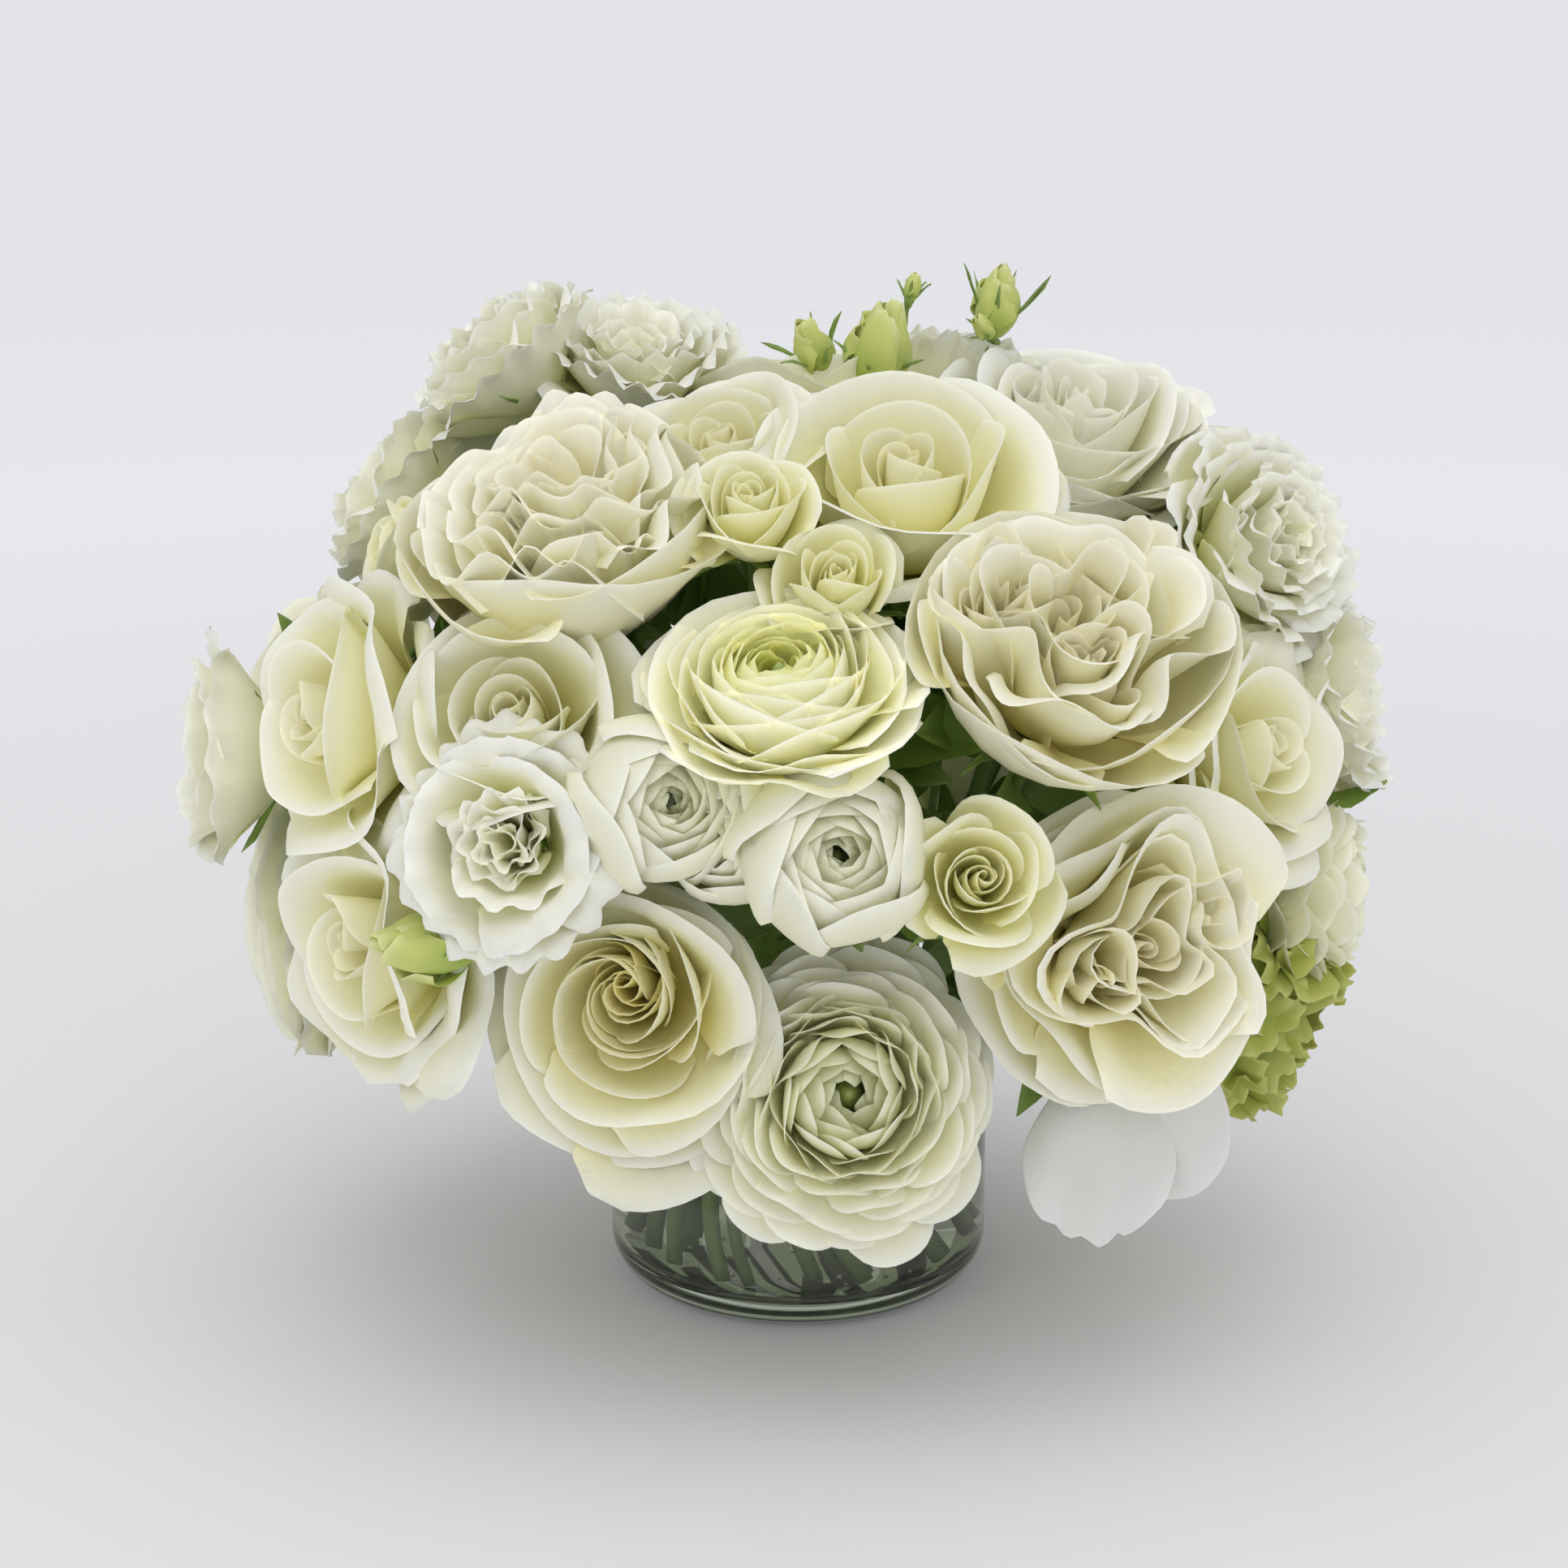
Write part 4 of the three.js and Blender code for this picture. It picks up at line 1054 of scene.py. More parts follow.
# name: colours of the foot, body, rim and heart; reach of the foot and of the rim, amount of heart
# colour, number of veins; and what differs from an average petal
PALETTE = {
    # Foot and heart colours are partly painted shade: yellower and darker than the petals, for the
    # hollows.
    "rose_petal": (
        ((0.88, 0.85, 0.42), (0.93, 0.92, 0.665), (0.94, 0.94, 0.85), (0.92, 0.87, 0.48)),
        (0.7, 0.4, 0.6, 8.0), {}),
    "garden_rose_petal": (
        ((0.90, 0.845, 0.46), (0.94, 0.92, 0.665), (0.945, 0.94, 0.83), (0.94, 0.86, 0.60)),
        (0.7, 0.4, 0.5, 9.0), {}),
    "ranunculus_petal": (
        ((0.87, 0.87, 0.52), (0.905, 0.90, 0.685), (0.915, 0.915, 0.82), (0.86, 0.89, 0.50)),
        (0.7, 0.32, 0.6, 6.0), {}),
    "lisianthus_petal": (
        ((0.84, 0.85, 0.44), (0.905, 0.90, 0.71), (0.915, 0.918, 0.865), (0.88, 0.87, 0.58)),
        (0.6, 0.45, 0.5, 16.0), dict(vein_depth=0.9)),
    "spray_rose_petal": (
        ((0.88, 0.86, 0.38), (0.93, 0.915, 0.60), (0.94, 0.935, 0.76), (0.92, 0.90, 0.48)),
        (0.7, 0.35, 0.7, 8.0), {}),
    "bud_petal": (
        ((0.36, 0.48, 0.07), (0.60, 0.66, 0.17), (0.74, 0.76, 0.34), (0.60, 0.66, 0.2)),
        (0.7, 0.3, 0.2, 8.0), {}),
    "hydrangea_bract": (
        ((0.30, 0.37, 0.05), (0.42, 0.47, 0.08), (0.56, 0.58, 0.16), (0.42, 0.47, 0.10)),
        (0.7, 0.4, 0.3, 10.0), dict(vein_depth=0.9)),
    "cream_ranunculus_petal": (
        ((0.90, 0.885, 0.42), (0.94, 0.935, 0.70), (0.945, 0.94, 0.84), (0.88, 0.895, 0.24)),
        (0.7, 0.34, 1.0, 6.0), dict(see_through=0.6, glow=(0.002, 0.0018, 0.0012))),
    "warm_rose_petal": (
        ((0.88, 0.82, 0.36), (0.92, 0.905, 0.66), (0.93, 0.93, 0.83), (0.90, 0.82, 0.30)),
        (0.7, 0.36, 0.8, 8.0), {}),
    "white_rose_petal": (
        ((0.90, 0.89, 0.60), (0.945, 0.94, 0.80), (0.95, 0.95, 0.90), (0.94, 0.92, 0.70)),
        (0.7, 0.4, 0.5, 8.0), {}),
    # The loose petals hang in the shade of the rose above them: their grey colours are painted shade.
    "loose_petal_in_shade": (
        ((0.66, 0.66, 0.60), (0.76, 0.76, 0.73), (0.84, 0.84, 0.82), (0.70, 0.70, 0.64)),
        (0.5, 0.35, 0.3, 18.0), dict(vein_depth=0.9, see_through=0.3)),
    "ranunculus_eye": (
        ((0.30, 0.42, 0.07), (0.48, 0.60, 0.16), (0.56, 0.66, 0.24), (0.42, 0.54, 0.13)),
        (0.5, 0.2, 0.2, 9.0), dict(tone_spread=0.3)),
    "sepal_green": (
        ((0.17, 0.28, 0.04), (0.19, 0.31, 0.05), (0.28, 0.40, 0.09), (0.18, 0.29, 0.05)),
        (0.5, 0.2, 0.2, 7.0), dict(tone_spread=0.3, see_through=0.15, shine=0.5)),
    "leaf_green": (
        ((0.18, 0.28, 0.05), (0.15, 0.25, 0.035), (0.21, 0.33, 0.06), (0.13, 0.22, 0.03)),
        (0.4, 0.2, 0.2, 12.0), dict(tone_spread=0.4, see_through=0.1, sheen=0.0, shine=0.5)),
    "anther_yellow": (
        ((0.62, 0.42, 0.05), (0.75, 0.52, 0.08), (0.8, 0.6, 0.14), (0.7, 0.5, 0.08)),
        (0.5, 0.3, 0.5, 9.0), dict(tone_spread=0.3, see_through=0.1, bump=0.5)),
    "stem_green": (
        ((0.24, 0.36, 0.09), (0.22, 0.33, 0.08), (0.28, 0.40, 0.12), (0.22, 0.32, 0.08)),
        (0.6, 0.2, 0.1, 5.0), dict(tone_spread=0.35, see_through=0.1, sheen=0.0, shine=0.5))}
SKINS = {name: growing_material(name, colours, amounts, **others)
         for name, (colours, amounts, others) in PALETTE.items()}
GREEN, LEAF, STEM = SKINS["sepal_green"], SKINS["leaf_green"], SKINS["stem_green"]
print("materials:", len(bpy.data.materials))

# %% [markdown]
# ## Making every flower
# Each kind has its recipe, and the plan has its places. Many flowers get numbers of their own, since
# no two roses in a bunch are open to the same point. The green cup and sepals follow under each one.
# Flowers at the side and the back are made of fewer points, which nobody sees from the front.

# %% Flowers
# kind: recipe, finish slot, petal material, further materials, and the sepals: their length and half
# width as shares of the flower's half width, and their lean
KINDS = {
    "rose": (rose, "rose_petals", "rose_petal", [], (0.62, 0.11, (60, 80, 96, 120))),
    "garden_rose": (garden_rose, "garden_rose_petals", "garden_rose_petal", [],
                    (0.6, 0.12, (62, 80, 92, 110))),
    "ranunculus": (ranunculus, "ranunculus_petals", "ranunculus_petal", ["ranunculus_eye"],
                   (0.5, 0.13, (72, 80, 90, 104))),
    "lisianthus": (lisianthus, "lisianthus_petals", "lisianthus_petal", ["anther_yellow"],
                   (0.8, 0.06, (40, 56, 66, 60))),
    "spray_rose": (spray_rose, "spray_rose_petals", "spray_rose_petal", [],
                   (0.95, 0.12, (50, 76, 92, 112))),
    "bud": (bud, "bud_green", "bud_petal", [], None),
    "hydrangea": (hydrangea, "hydrangea_green", "hydrangea_bract", [], None)}
LOOKS = {
    "lisianthus_back_left": dict(petals=22, stage="full"),
    "lisianthus_left_shoulder": dict(petals=16, stage="full", teeth=0.015),
    "lisianthus_top_left": dict(petals=26, stage="full"),
    "lisianthus_front_left": dict(stage="ruff"),
    "lisianthus_right": dict(petals=24, stage="full"),
    "lisianthus_far_left": dict(petals=13, stage="plain", teeth=0.01),
    "rose_top_centre": dict(petals=14, stage="cup", sag=0.0),
    "rose_crown_left": dict(petals=16, stage="cup"),
    "rose_front_low_left": dict(petals=28, stage="swirl", heart=(0.0, 0.30), sag=0.24),
    "rose_left": dict(petals=16, stage="blown", heart=(-0.2, 0.0)),
    "rose_low_left": dict(petals=17, stage="blown", sag=0.25),
    "rose_middle_left": dict(petals=15, stage="cup"),
    "rose_right": dict(petals=18, stage="blown"),
    "garden_rose_front_right": dict(
        turn=200, pinch=0.50, heart=(0.05, 0.0), core_petals=5, ribbons=10, guards=7, sag=0.15,
        twist=1.0, folds="waved", lobes=3, waves=(0.8, 1.7)),
    "garden_rose_centre_right": dict(
        cores=3, turn=40, pinch=0.30, core_ruffle=1.5, twist=1.6, sag=0.0, guards=5, outer="wrap",
        ribbons=16, folds="tufted", waves=(1.6, 2.6), heart=(0.0, 0.1)),
    "garden_rose_top_left": dict(
        turn=100, pinch=0.16, core_ruffle=1.8, twist=1.2, sag=0.0, guards=5, outer="wrap", ribbons=28,
        folds="tufted", waves=(2.8, 4.4)),
    "garden_rose_top_right": dict(
        cores=1, ribbons=12, pinch=0.16, lobes=2, folds="waved", outer="tall"),
    "ranunculus_centre": dict(petals=56, stage="bowl", sag=0.1),
    "ranunculus_front_low": dict(petals=112, stage="shingle", sag=0.08),
    "ranunculus_right": dict(petals=90, stage="shingle"),
    "ranunculus_front_left": dict(petals=40, heart=(0.08, 0.0)),
    "ranunculus_tucked": dict(petals=30),
    "ranunculus_front_centre": dict(petals=42),
    "ranunculus_back_right": dict(petals=56, stage="bowl"),
    "ranunculus_back_low": dict(petals=70, stage="shingle"),
    "ranunculus_low_left": dict(petals=56, stage="bowl"),
    "bud_opening": dict(opened=0.5, sepal_length=0.6),
    "bud_green_left": dict(opened=0.7, sepal_length=0.5),
    "bud_tall": dict(sepal_length=0.9, sepal_lean=(34, 30, 30, 30))}
TRIM = {"ranunculus_centre": 0.9, "garden_rose_top_right": 0.92, "garden_rose_front_right": 0.89}
OTHER_SKIN = {
    "garden_rose_top_right": "white_rose_petal", "ranunculus_centre": "cream_ranunculus_petal",
    "rose_front_low_left": "warm_rose_petal"}
LARGE_KINDS = ("rose", "garden_rose", "ranunculus", "lisianthus")
FINE_AT, FINE = (-40, -30, 40, 50), (1.0, 0.86, 0.86, 0.72)     # mm to the back, share of the points

total = 0
for name, flower in FLOWERS.items():
    rng = np.random.default_rng(flower["seed"])
    pile = Pile()
    kind, half, deep = flower["kind"], flower["half"] * TRIM.get(name, 1.0), flower["deep"]
    recipe, slot, skin, more, calyx = KINDS[kind]
    look = dict(LOOKS.get(name, {}))
    if kind in LARGE_KINDS:
        look["fine"] = float(np.interp(flower["middle"][1], FINE_AT, FINE))
    recipe(pile, half, deep, rng, **look)
    if calyx:
        length, width, lean = calyx
        sepals(pile, half, deep, rng, length * half, width * half, lean)
    pile.place(axes_for(flower["way"], flower["roll"]), flower["middle"])
    skins = [SKINS[OTHER_SKIN.get(name, skin)], GREEN, *(SKINS[one] for one in more)]
    build_piece(pile, name + "_flower", skins, name)
    total += pile.triangles()
print("flowers made:", len(FLOWERS), "triangles:", total)

# %% [markdown]
# ## Loose guard petals
# Under the front right garden rose two outer petals have come loose and hang down. They could be bent
# by a cloth simulation, but two petals are quicker to draw: each is a pleated sheet that narrows to its
# foot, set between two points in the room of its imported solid.

# %% Hanging petals
HANGING_ROWS, HANGING_COLUMNS = 20, 25
HANGING_FOOT, HANGING_BELLY = 0.42, 9.0     # share of the width at the foot, and mm it bows out
HANGING = [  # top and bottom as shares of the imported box, width as a share of its width, and the pleats
    ([0.66, 0.72, 1.12], [0.80, 0.55, 0.16], 0.66, dict(pleats=1.2, pleat_depth=0.8)),
    ([0.46, 0.45, 1.0], [0.34, 0.2, 0.0], 0.80, dict(pleats=2.2, pleat_depth=2.6, scallop=0.07))]


def hanging_petal(pile, top, bottom, width, rng, pleats, pleat_depth, scallop=0.0):
    """A big petal that hangs from its foot at top to its rounded rim at bottom, in mm."""
    uu, vv = np.meshgrid(np.sin(np.linspace(-1, 1, HANGING_COLUMNS) * math.pi / 2),
                         np.linspace(0, 1, HANGING_ROWS))
    scallops = scallop * np.abs(np.sin(pleats * math.pi * uu + 0.6)) ** 0.7 * (1 - uu ** 4)
    share = vv * (1 - 0.34 * (1 - np.sqrt(np.clip(1 - np.abs(uu) ** 2.4, 0, 1))) - scallop + scallops)
    half = (width / 2 * (HANGING_FOOT + (1 - HANGING_FOOT) * ease(share / 0.62))
            * (1 - 0.12 * ease((share - 0.8) / 0.2)))
    line = np.asarray(bottom, float) - top
    across = unit(np.cross(line, [0, 1.0, 0]))
    facing = unit(np.cross(across, line))
    if facing[1] > 0:
        facing = -facing
    depth = HANGING_BELLY * np.sin(math.pi * share) * (1 - 0.7 * uu ** 2) - 0.16 * half * uu ** 2
    depth = depth + pleat_depth * share ** 2 * np.sin(pleats * math.pi * uu + rng.uniform(0, 6))
    grid = top + share[..., None] * line + (half * uu)[..., None] * across + depth[..., None] * facing
    pile.add_sheet(grid, 0.5, 1.0, rng.random())


low, high = (np.array(corner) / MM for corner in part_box("drooping_petals"))
size = high - low
rng = np.random.default_rng(41)
pile = Pile()
for top, bottom, wide, pleating in HANGING:
    hanging_petal(pile, low + size * top, low + size * bottom, wide * size[0], rng, **pleating)
# The grey of the loose petals' material is painted shade.
build_piece(pile, "loose_guard_petals", [SKINS["loose_petal_in_shade"]], "drooping_petals")
print("loose petals box, mm:", np.round(low), np.round(high))

# %% [markdown]
# ## Stems
# Every stem leaves its calyx straight back and bends to its bundle in the mouth of the vase. Main
# stems end on the glass and side stalks in the bundle. A Bezier curve with a bevel could draw one, but
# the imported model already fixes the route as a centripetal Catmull-Rom curve, so the same curve is
# sampled here and swept into a smooth tube.

# %% Stem routes
STEM_ACROSS = {"rose": 5, "garden_rose": 5, "ranunculus": 4, "lisianthus": 3.6,
               "spray_rose": 3.6, "bud": 2.6, "hydrangea": 4}
BRANCHES = ("lisianthus", "spray_rose", "bud", "hydrangea")     # these end where they join their bundle
VASE_HEIGHT, GLASS_FOOT = 80.0, 9.0
GATHER_HEIGHT, GATHER_RING, GATHER_SPREAD, GATHER_TWIST = 85.0, 36.0, 2.0, 65.0
FOOT_RING, FOOT_SPREAD, NECK_LENGTH, SEAT_GAP, RIM_CLEARANCE = 34.0, 8.0, 9.0, 0.3, 10.0
BEND_SHARE = 0.6           # where a stem bends, on its way from the neck to the bundle
ROUTE_STEPS = 9            # between one point of a route and the next
MIDDLE_BUNDLE_REACH = 52.0
BUNDLES = {"stems_front": 0, "stems_front_right": 45, "stems_right": 90, "stems_back_right": 135,
           "stems_back": 180, "stems_back_left": -135, "stems_left": -90, "stems_front_left": -45,
           "stems_middle": None}


def bundle_of(middle):
    """The bundle on the flower's side of the vase."""
    if math.hypot(middle[0], middle[1]) < MIDDLE_BUNDLE_REACH:
        return "stems_middle"
    bearing = math.degrees(math.atan2(middle[0], -middle[1]))
    apart = {name: abs((turn - bearing + 540) % 360 - 180)
             for name, turn in BUNDLES.items() if turn is not None}
    return min(apart, key=apart.get)


def smooth_route(points):
    """Centripetal Catmull-Rom curve through the points."""
    points = [np.asarray(p, float) for p in points]
    points = [2 * points[0] - points[1], *points, 2 * points[-1] - points[-2]]
    route = []
    for p0, p1, p2, p3 in zip(points, points[1:], points[2:], points[3:]):
        d0, d1, d2 = (max(np.linalg.norm(b - a) ** 0.5, 1e-4)
                      for a, b in ((p0, p1), (p1, p2), (p2, p3)))
        out = ((p1 - p0) / d0 - (p2 - p0) / (d0 + d1) + (p2 - p1) / d1) * d1
        into = ((p2 - p1) / d1 - (p3 - p1) / (d1 + d2) + (p3 - p2) / d2) * d1
        for t in np.linspace(0, 1, ROUTE_STEPS, endpoint=False):
            route.append((2 * t**3 - 3 * t**2 + 1) * p1 + (t**3 - 2 * t**2 + t) * out
                         + (3 * t**2 - 2 * t**3) * p2 + (t**3 - t**2) * into)
    return np.array([*route, points[-2]])


def stem_route(flower, bearing, around):
    """From the calyx down. bearing is the bundle's, or None in the middle; around, the place in it."""
    on_ring = 0.0 if bearing is None else 1.0
    bearing = bearing or 0
    seat = flower["middle"] - flower["way"] * (flower["deep"] / 2 + SEAT_GAP)
    neck = seat - flower["way"] * NECK_LENGTH
    gather = direction(bearing, 0) * GATHER_RING * on_ring + direction(around, 0) * GATHER_SPREAD
    gather[2] = GATHER_HEIGHT
    bend = neck + (gather - neck) * BEND_SHARE
    bend[2] = max(bend[2], VASE_HEIGHT + RIM_CLEARANCE)
    points = [seat, neck, bend, gather]
    if flower["kind"] not in BRANCHES:
        foot = (direction(bearing + GATHER_TWIST, 0) * FOOT_RING * on_ring
                + direction(around + GATHER_TWIST, 0) * FOOT_SPREAD)
        foot[2] = GLASS_FOOT
        slant = math.hypot(*(foot - gather)[:2]) / np.linalg.norm(foot - gather)
        foot[2] += SEAT_GAP + slant * STEM_ACROSS[flower["kind"]] / 2
        points.append(foot)
    return smooth_route(points)


crown = FLOWERS["rose_top_centre"]
sample = stem_route(crown, BUNDLES[bundle_of(crown["middle"])], 0)
steps = np.linalg.norm(np.diff(sample, axis=0), axis=1)
print("stem of the top centre rose, mm:", round(float(steps.sum())))

# %% Stems
STEM_SIDES = 10
STEM_WAVES, WAVE_DEPTH = 40, 0.04           # radians of slow waves along a stem, and their depth
SWELLING = np.array([1.25, 1.1, 1.0])       # the knob at the calyx

members = {bundle: [name for name, flower in FLOWERS.items() if bundle_of(flower["middle"]) == bundle]
           for bundle in BUNDLES}
for bundle, bearing in BUNDLES.items():
    pile = Pile()
    rng = np.random.default_rng(len(bundle))
    for index, name in enumerate(members[bundle]):
        flower = FLOWERS[name]
        route = stem_route(flower, bearing, index / len(members[bundle]) * 360)
        waves = np.sin(np.linspace(0, 1, len(route)) * STEM_WAVES + index)
        radius = STEM_ACROSS[flower["kind"]] / 2 * (1 - WAVE_DEPTH + WAVE_DEPTH * waves)
        radius[:len(SWELLING)] *= SWELLING
        pile.add_tube(route, radius, STEM_SIDES, rng.random(), rng.random())
    stems = build_piece(pile, bundle + "_stalks", [STEM], bundle)
    box_low, box_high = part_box(bundle)
    off = max((Vector(stems.bound_box[0]) - box_low).length,
              (Vector(stems.bound_box[6]) - box_high).length)
    print(bundle, len(members[bundle]), "stems, corners off by mm:", round(off / MM, 1))

# %% [markdown]
# ## Leaves
# Leaves fill the chinks of a bouquet, so that one sees green between the flowers and not the room
# behind them. One leaf is a grid folded along its midrib, with a toothed, slightly waved edge. Most
# leaves start at a flower's neck and lean out beside it, and a collar of larger ones closes the dome
# over the mouth of the vase. They could be scattered by a modifier, but in code a leaf that would cut
# through a flower is left out.

# %% Leaf
LEAF_ROWS, LEAF_COLUMNS, LEAF_THICK = 11, 7, 0.5
LEAF_FOLD, LEAF_TEETH = 24.0, 0.03          # degrees, and teeth as a share of the width
TOO_NEAR, TOO_HIGH = 0.9, -0.3              # in a flower: shares of its half width and of its depth


def leaf(pile, root, way, face, length, width, rng, droop, through=False):
    """A pointed leaf from root along way, its upper side to face, left out where it cuts a flower."""
    v = np.linspace(0, 1, LEAF_ROWS)
    uu, vv = np.meshgrid(np.linspace(-1, 1, LEAF_COLUMNS), v)
    outline = np.sin(math.pi * vv ** 0.8) ** 0.85 * (1 - 0.25 * vv) + 0.05
    in_and_out = np.where(np.arange(LEAF_ROWS) % 2 == 0, 1.0, -1.0)[:, None]
    teeth = 1 + LEAF_TEETH * in_and_out * (np.abs(uu) > 0.9)
    half = width / 2 * outline * teeth
    sag = np.radians(droop) * v ** 1.5
    step = length / (LEAF_ROWS - 1)
    x = np.concatenate([[0], np.cumsum(np.cos(sag[1:]) * step)])
    z = np.concatenate([[0], np.cumsum(-np.sin(sag[1:]) * step)])
    lift = np.abs(uu) * half * math.tan(math.radians(LEAF_FOLD))
    wave = 0.02 * length * np.sin(vv * 9 + rng.uniform(0, 6)) * uu * np.abs(uu)
    grid = np.stack([x[:, None] + 0 * uu, half * uu, z[:, None] + lift + wave], axis=-1)
    way = unit(np.asarray(way, float))
    side = unit(np.cross(face, way))
    grid = grid @ np.stack([way, side, np.cross(way, side)], axis=0) + root
    for flower in FLOWERS.values():
        apart = grid.reshape(-1, 3) - flower["middle"]
        near = np.linalg.norm(apart, axis=1) < TOO_NEAR * flower["half"]
        above = apart @ flower["way"] > TOO_HIGH * flower["deep"]
        if (near & above).any() and not through:
            return
    pile.add_sheet(grid, LEAF_THICK, rng.random(), rng.random())


print("faces of a leaf:", len(sheet_faces(LEAF_ROWS, LEAF_COLUMNS)))

# %% Leaves between the flowers
NECK_LEAVES = 6            # for each flower
INNER_LEAVES = ((0.46, 70, 1.0), (0.64, 110, 0.66))    # share of the way out, number and size
CHINK_LEAVES = [  # root, tip and width in mm of single leaves that show in the wide chinks
    ((101, -4, 226), (117, -8, 246), 14), ((104, -10, 220), (121, -24, 230), 13),
    ((112, -12, 206), (132, -28, 216), 12), ((120, -10, 192), (146, -30, 202), 14),
    ((84, -70, 176), (104, -96, 186), 12), ((-92, -40, 206), (-106, -58, 236), 13),
    ((-140, 0, 196), (-160, -4, 214), 14), ((160, -14, 160), (180, -16, 164), 16),
    ((26, -100, 152), (40, -122, 150), 12),
    ((-30, -70, 140), (-4, -100, 148), 26), ((20, -70, 138), (-16, -96, 138), 26),
    ((20, -76, 196), (52, -104, 200), 26), ((52, -70, 196), (34, -104, 204), 24),
    ((-24, -66, 118), (2, -90, 138), 24), ((28, -64, 120), (54, -94, 144), 22)]

pile = Pile()
rng = np.random.default_rng(7)
for flower in FLOWERS.values():
    if flower["kind"] == "bud":
        continue
    seat = flower["middle"] - flower["way"] * flower["deep"] * 0.5
    outward = unit((flower["middle"] - DOME_MIDDLE) / DOME_REACH)
    axes = axes_for(outward)
    start = rng.uniform(0, 360)
    for k in range(NECK_LEAVES):
        turn = math.radians(start + 360 / NECK_LEAVES * k + rng.uniform(-20, 20))
        aside = axes[:, 0] * math.cos(turn) + axes[:, 1] * math.sin(turn)
        way = unit(aside + outward * rng.uniform(0.25, 0.6))
        leaf(pile, seat - outward * 4, way, outward, flower["half"] * rng.uniform(0.8, 1.2),
             flower["half"] * rng.uniform(0.4, 0.55), rng, droop=rng.uniform(0, 30))
for depth, count, size in INNER_LEAVES:
    for k in range(count):
        outward = direction(k * GOLDEN_ANGLE, rng.uniform(-22, 62))
        root = DOME_MIDDLE + outward * DOME_REACH * depth
        aside = np.cross(outward, [0, 0, 1]) * rng.uniform(-1, 1)
        way = unit(outward * 0.4 + aside + [0, 0, rng.uniform(-0.2, 0.7)])
        leaf(pile, root, way, outward, size * rng.uniform(40, 56), size * rng.uniform(24, 32), rng,
             droop=rng.uniform(0, 20))
for root, tip, wide in CHINK_LEAVES:
    root, tip = np.array(root, float), np.array(tip, float)
    outward = unit((root - DOME_MIDDLE) / DOME_REACH)
    leaf(pile, root, tip - root, outward, np.linalg.norm(tip - root), wide, rng, droop=8, through=True)
build_piece(pile, "leaves_between_flowers", [LEAF])
print("leaves between flowers, triangles:", pile.triangles())

# %% Collar of leaves under the dome
COLLAR_LEAVES, COLLAR_RADIUS, COLLAR_HEIGHT = 18, 44, 92       # radius and height in mm

pile = Pile()
for k in range(COLLAR_LEAVES):
    bearing = k * 360 / COLLAR_LEAVES + rng.uniform(-6, 6)
    root = direction(bearing, 0) * COLLAR_RADIUS + [0, 0, COLLAR_HEIGHT + rng.uniform(0, 6)]
    leaf(pile, root, direction(bearing + rng.uniform(-12, 12), rng.uniform(-4, 14)), [0, 0, 1],
         rng.uniform(52, 68), rng.uniform(26, 34), rng, droop=rng.uniform(10, 30))
build_piece(pile, "leaf_collar", [LEAF])
print("collar triangles:", pile.triangles())

# %% Side buds
SIDE_BUDS = [  # middle, way, width in mm, and where the stalk joins
    ((34.5, 14, 312), (0.25, 0, 1), 6.5, (31, 17, 296)),
    ((56.5, 20, 299), (-0.5, -0.6, 0.6), 8, (61, 25, 296)),
    ((126, -16, 224), (0.5, -0.5, 0.5), 9, (108, 0, 190)),
    ((131, -20, 212), (0.6, -0.5, 0.2), 8, (108, 0, 186))]
STALK_RADIUS = 0.8         # mm

pile = Pile()
rng = np.random.default_rng(23)
for middle, way, across, foot in SIDE_BUDS:
    small = Pile()
    middle, way, foot = np.array(middle, float), unit(np.array(way, float)), np.array(foot, float)
    deep = across * DEEP["bud"]
    bud(small, across / 2, deep, rng, petals=6, sepal_length=0.75, sepal_lean=(26, 30, 36, 50),
        fine=0.7)
    small.place(axes_for(way, 30), middle)
    start = middle - way * deep * 0.52
    route = smooth_route([start, start - way * 4, (foot + start) / 2 + [0, 0, -2], foot])
    small.add_tube(route, np.full(len(route), STALK_RADIUS), 8, 0.4, 0.5, slot=1)
    pile.join(small)
build_piece(pile, "side_buds", [SKINS["bud_petal"], GREEN])
print("side buds:", len(SIDE_BUDS), "triangles:", pile.triangles())

# %% [markdown]
# ## Vase
# The vase is plain glass, the same all round: a thick foot, a rounded heel and a straight wall with a
# fire-polished rim. A Screw modifier could turn its outline, but a lathe in code also closes the solid
# on the axis, and it makes the water and the bubbles too.

# %% Glass
GLASS_CLOUD = 1.015        # how much paler the pale clouds in the glass are


def arc(middle, radius, start, end, steps):
    """Points of an arc about middle from the angle start to end, in degrees from straight down."""
    angle = np.radians(np.linspace(start, end, steps))
    return [(middle[0] + radius * math.sin(a), middle[1] - radius * math.cos(a)) for a in angle]


def glass_material(name, tint, ior, foot_tint=None, foot_height=0.0):
    """Clear glass or water: a faint mottled tint with plain metallic and transmission. A foot tint, where
    given, darkens the thick foot as painted reflection of the dark stems."""
    material, tree, shader = new_material(name)
    spot = add_node(tree, "ShaderNodeTexCoord").outputs["Object"]
    cloud = add_node(tree, "ShaderNodeTexNoise", {
        "Vector": spot, "Scale": 25.0, "Detail": 2.0}).outputs["Fac"]
    colour = mix_node(tree, cloud, (*tint, 1), (*[min(1, GLASS_CLOUD * c) for c in tint], 1))
    # Dark green up the foot: painted reflection of the stems that the thick glass shows.
    if foot_tint:
        height = add_node(tree, "ShaderNodeSeparateXYZ", {"Vector": spot}).outputs["Z"]
        above = smooth_between(tree, height, 0.3 * foot_height, foot_height)
        colour = mix_node(tree, above, (*foot_tint, 1), colour)
    set_inputs(tree, shader, {
        "Base Color": colour, "Roughness": 0.0, "IOR": ior, "Transmission Weight": 1.0})
    return material


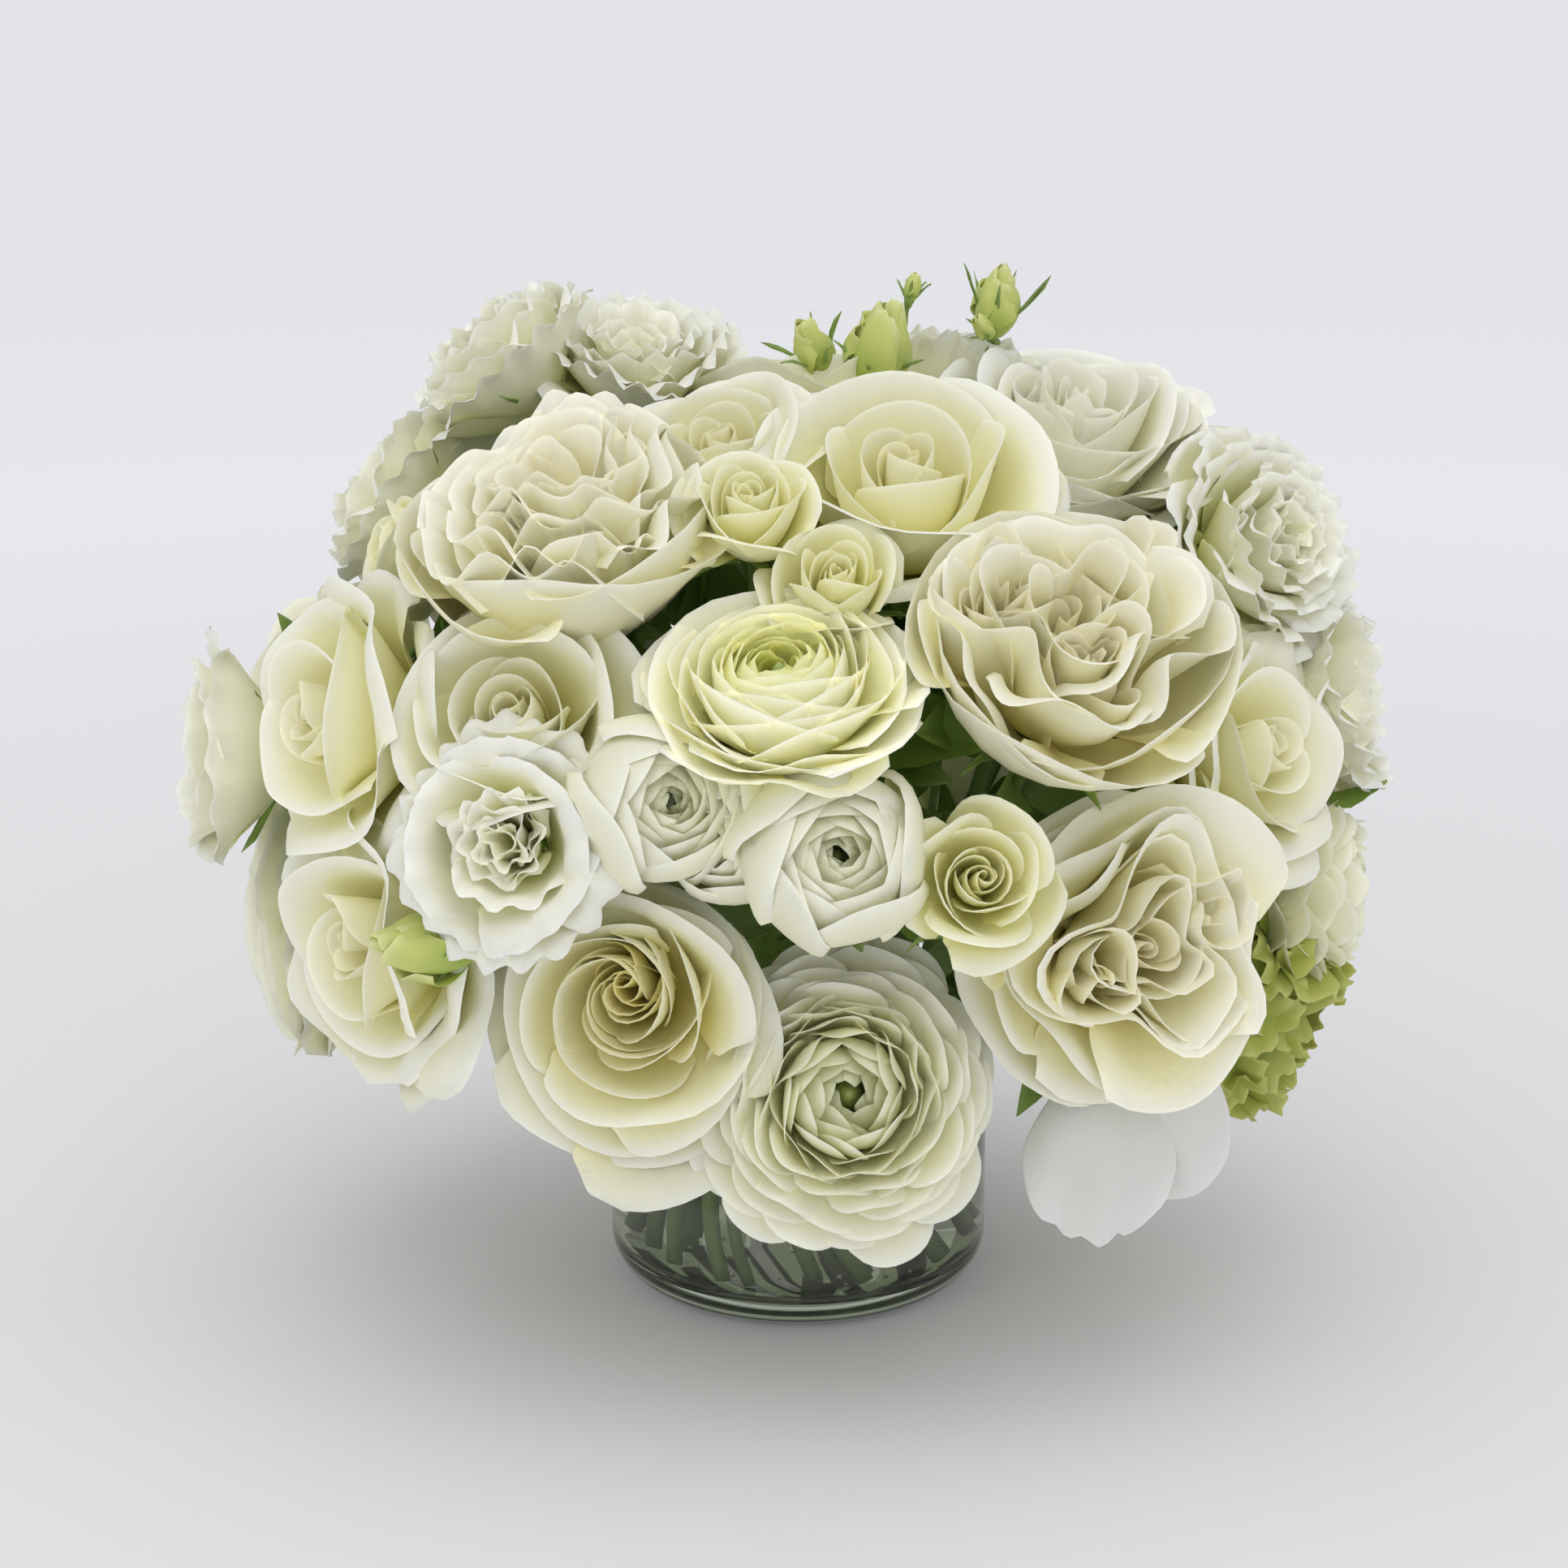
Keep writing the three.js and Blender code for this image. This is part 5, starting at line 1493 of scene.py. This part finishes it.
print("middle of an arc of 10 mm, straight down to level:", np.round(arc((0, 0), 10, 0, 90, 3)[1], 2))

# %% Vase
VASE_RADIUS, GLASS_WALL, HEEL, INNER_HEEL = 60.0, 3.0, 14.0, 9.0
GLASS_IOR, GLASS_TINT = 1.5, (0.95, 0.97, 0.94)
FOOT_REFLECTION_TINT, FOOT_TINT_HEIGHT = (0.24, 0.28, 0.18), 0.018       # painted reflection of the dark stems in the foot, up to this height in metres

inside = VASE_RADIUS - GLASS_WALL
lip = GLASS_WALL / 2
outline = [(0, 0), (VASE_RADIUS - HEEL - 3, 0), *arc((VASE_RADIUS - HEEL, HEEL), HEEL, 0, 90, 14),
           (VASE_RADIUS, VASE_HEIGHT * 0.5), (VASE_RADIUS, VASE_HEIGHT - lip - 1),
           *arc((VASE_RADIUS - lip, VASE_HEIGHT - lip), lip, 90, 270, 9),
           (inside, VASE_HEIGHT - lip - 1), (inside, VASE_HEIGHT * 0.5),
           *arc((inside - INNER_HEEL, GLASS_FOOT + INNER_HEEL), INNER_HEEL, 90, 0, 12),
           (inside - INNER_HEEL - 3, GLASS_FOOT), (0, GLASS_FOOT)]
glass = glass_material("vase_glass", GLASS_TINT, GLASS_IOR, FOOT_REFLECTION_TINT, FOOT_TINT_HEIGHT)
pile = Pile()
pile.lathe(outline)
build_piece(pile, "glass_cylinder", [glass], "glass_vase")
print("vase triangles:", pile.triangles())

# %% [markdown]
# ## Water and bubbles
# Water touches the glass, so there is no air between them. The usual trick is to let the water reach
# a hair into the glass, or the renderer sees a thin film of air and turns the wall to a mirror. The
# surface climbs the wall in a small meniscus. Fine bubbles cling to the glass, most of them low down.
# A bubble is air inside water, so its index of refraction is that of air divided by that of water.

# %% Water
WATER_LEVEL = 58.0
FILM = 0.1                 # how far the water reaches into the glass
MENISCUS = ((-FILM, 1.4), (0.6, 0.7), (1.6, 0.2), (3.5, 0))     # in from the glass, above the level
WATER_IOR, WATER_TINT = 1.333, (0.80, 0.82, 0.68)

reach = inside + FILM
outline = [(0, GLASS_FOOT - FILM), (reach - INNER_HEEL - 3, GLASS_FOOT - FILM),
           *arc((inside - INNER_HEEL, GLASS_FOOT + INNER_HEEL), INNER_HEEL + FILM, 0, 90, 12),
           (reach, WATER_LEVEL * 0.5),
           *[(inside - away, WATER_LEVEL + rise) for away, rise in MENISCUS], (0, WATER_LEVEL)]
pile = Pile()
pile.lathe(outline)
build_piece(pile, "water_body", [glass_material("vase_water", WATER_TINT, WATER_IOR)], "water")
print("water triangles:", pile.triangles())

# %% Bubbles
BUBBLES, BUBBLE_SIDES, BUBBLE_STEPS = 90, 8, 6
BUBBLE_IOR, BUBBLE_TINT = 0.752, (0.98, 0.99, 0.99)
BUBBLE_RADII, BUBBLE_GAP = (0.3, 0.9), 0.4  # mm, and mm between a bubble and the glass
BUBBLE_LOW, BUBBLE_REACH = 1.5, 40          # mm above the foot of the lowest, and their reach up
BUBBLE_CROWDING = 2.2                       # the higher, the more of them are low

rng = np.random.default_rng(12)
pile = Pile()
for _ in range(BUBBLES):
    bearing = rng.uniform(0, 360)
    height = GLASS_FOOT + BUBBLE_LOW + BUBBLE_REACH * rng.random() ** BUBBLE_CROWDING
    drop = max(0.0, GLASS_FOOT + INNER_HEEL - height)
    rim = inside - INNER_HEEL + math.sqrt(max(0.0, INNER_HEEL ** 2 - drop ** 2))
    size = rng.uniform(*BUBBLE_RADII)
    ball = arc((0, 0), size, 0, 180, BUBBLE_STEPS)
    pile.lathe(ball, BUBBLE_SIDES, direction(bearing, 0) * (rim - size - BUBBLE_GAP) + [0, 0, height])
build_piece(pile, "air_bubbles", [glass_material("bubble_air", BUBBLE_TINT, BUBBLE_IOR)])
print("bubbles:", BUBBLES, "triangles:", pile.triangles())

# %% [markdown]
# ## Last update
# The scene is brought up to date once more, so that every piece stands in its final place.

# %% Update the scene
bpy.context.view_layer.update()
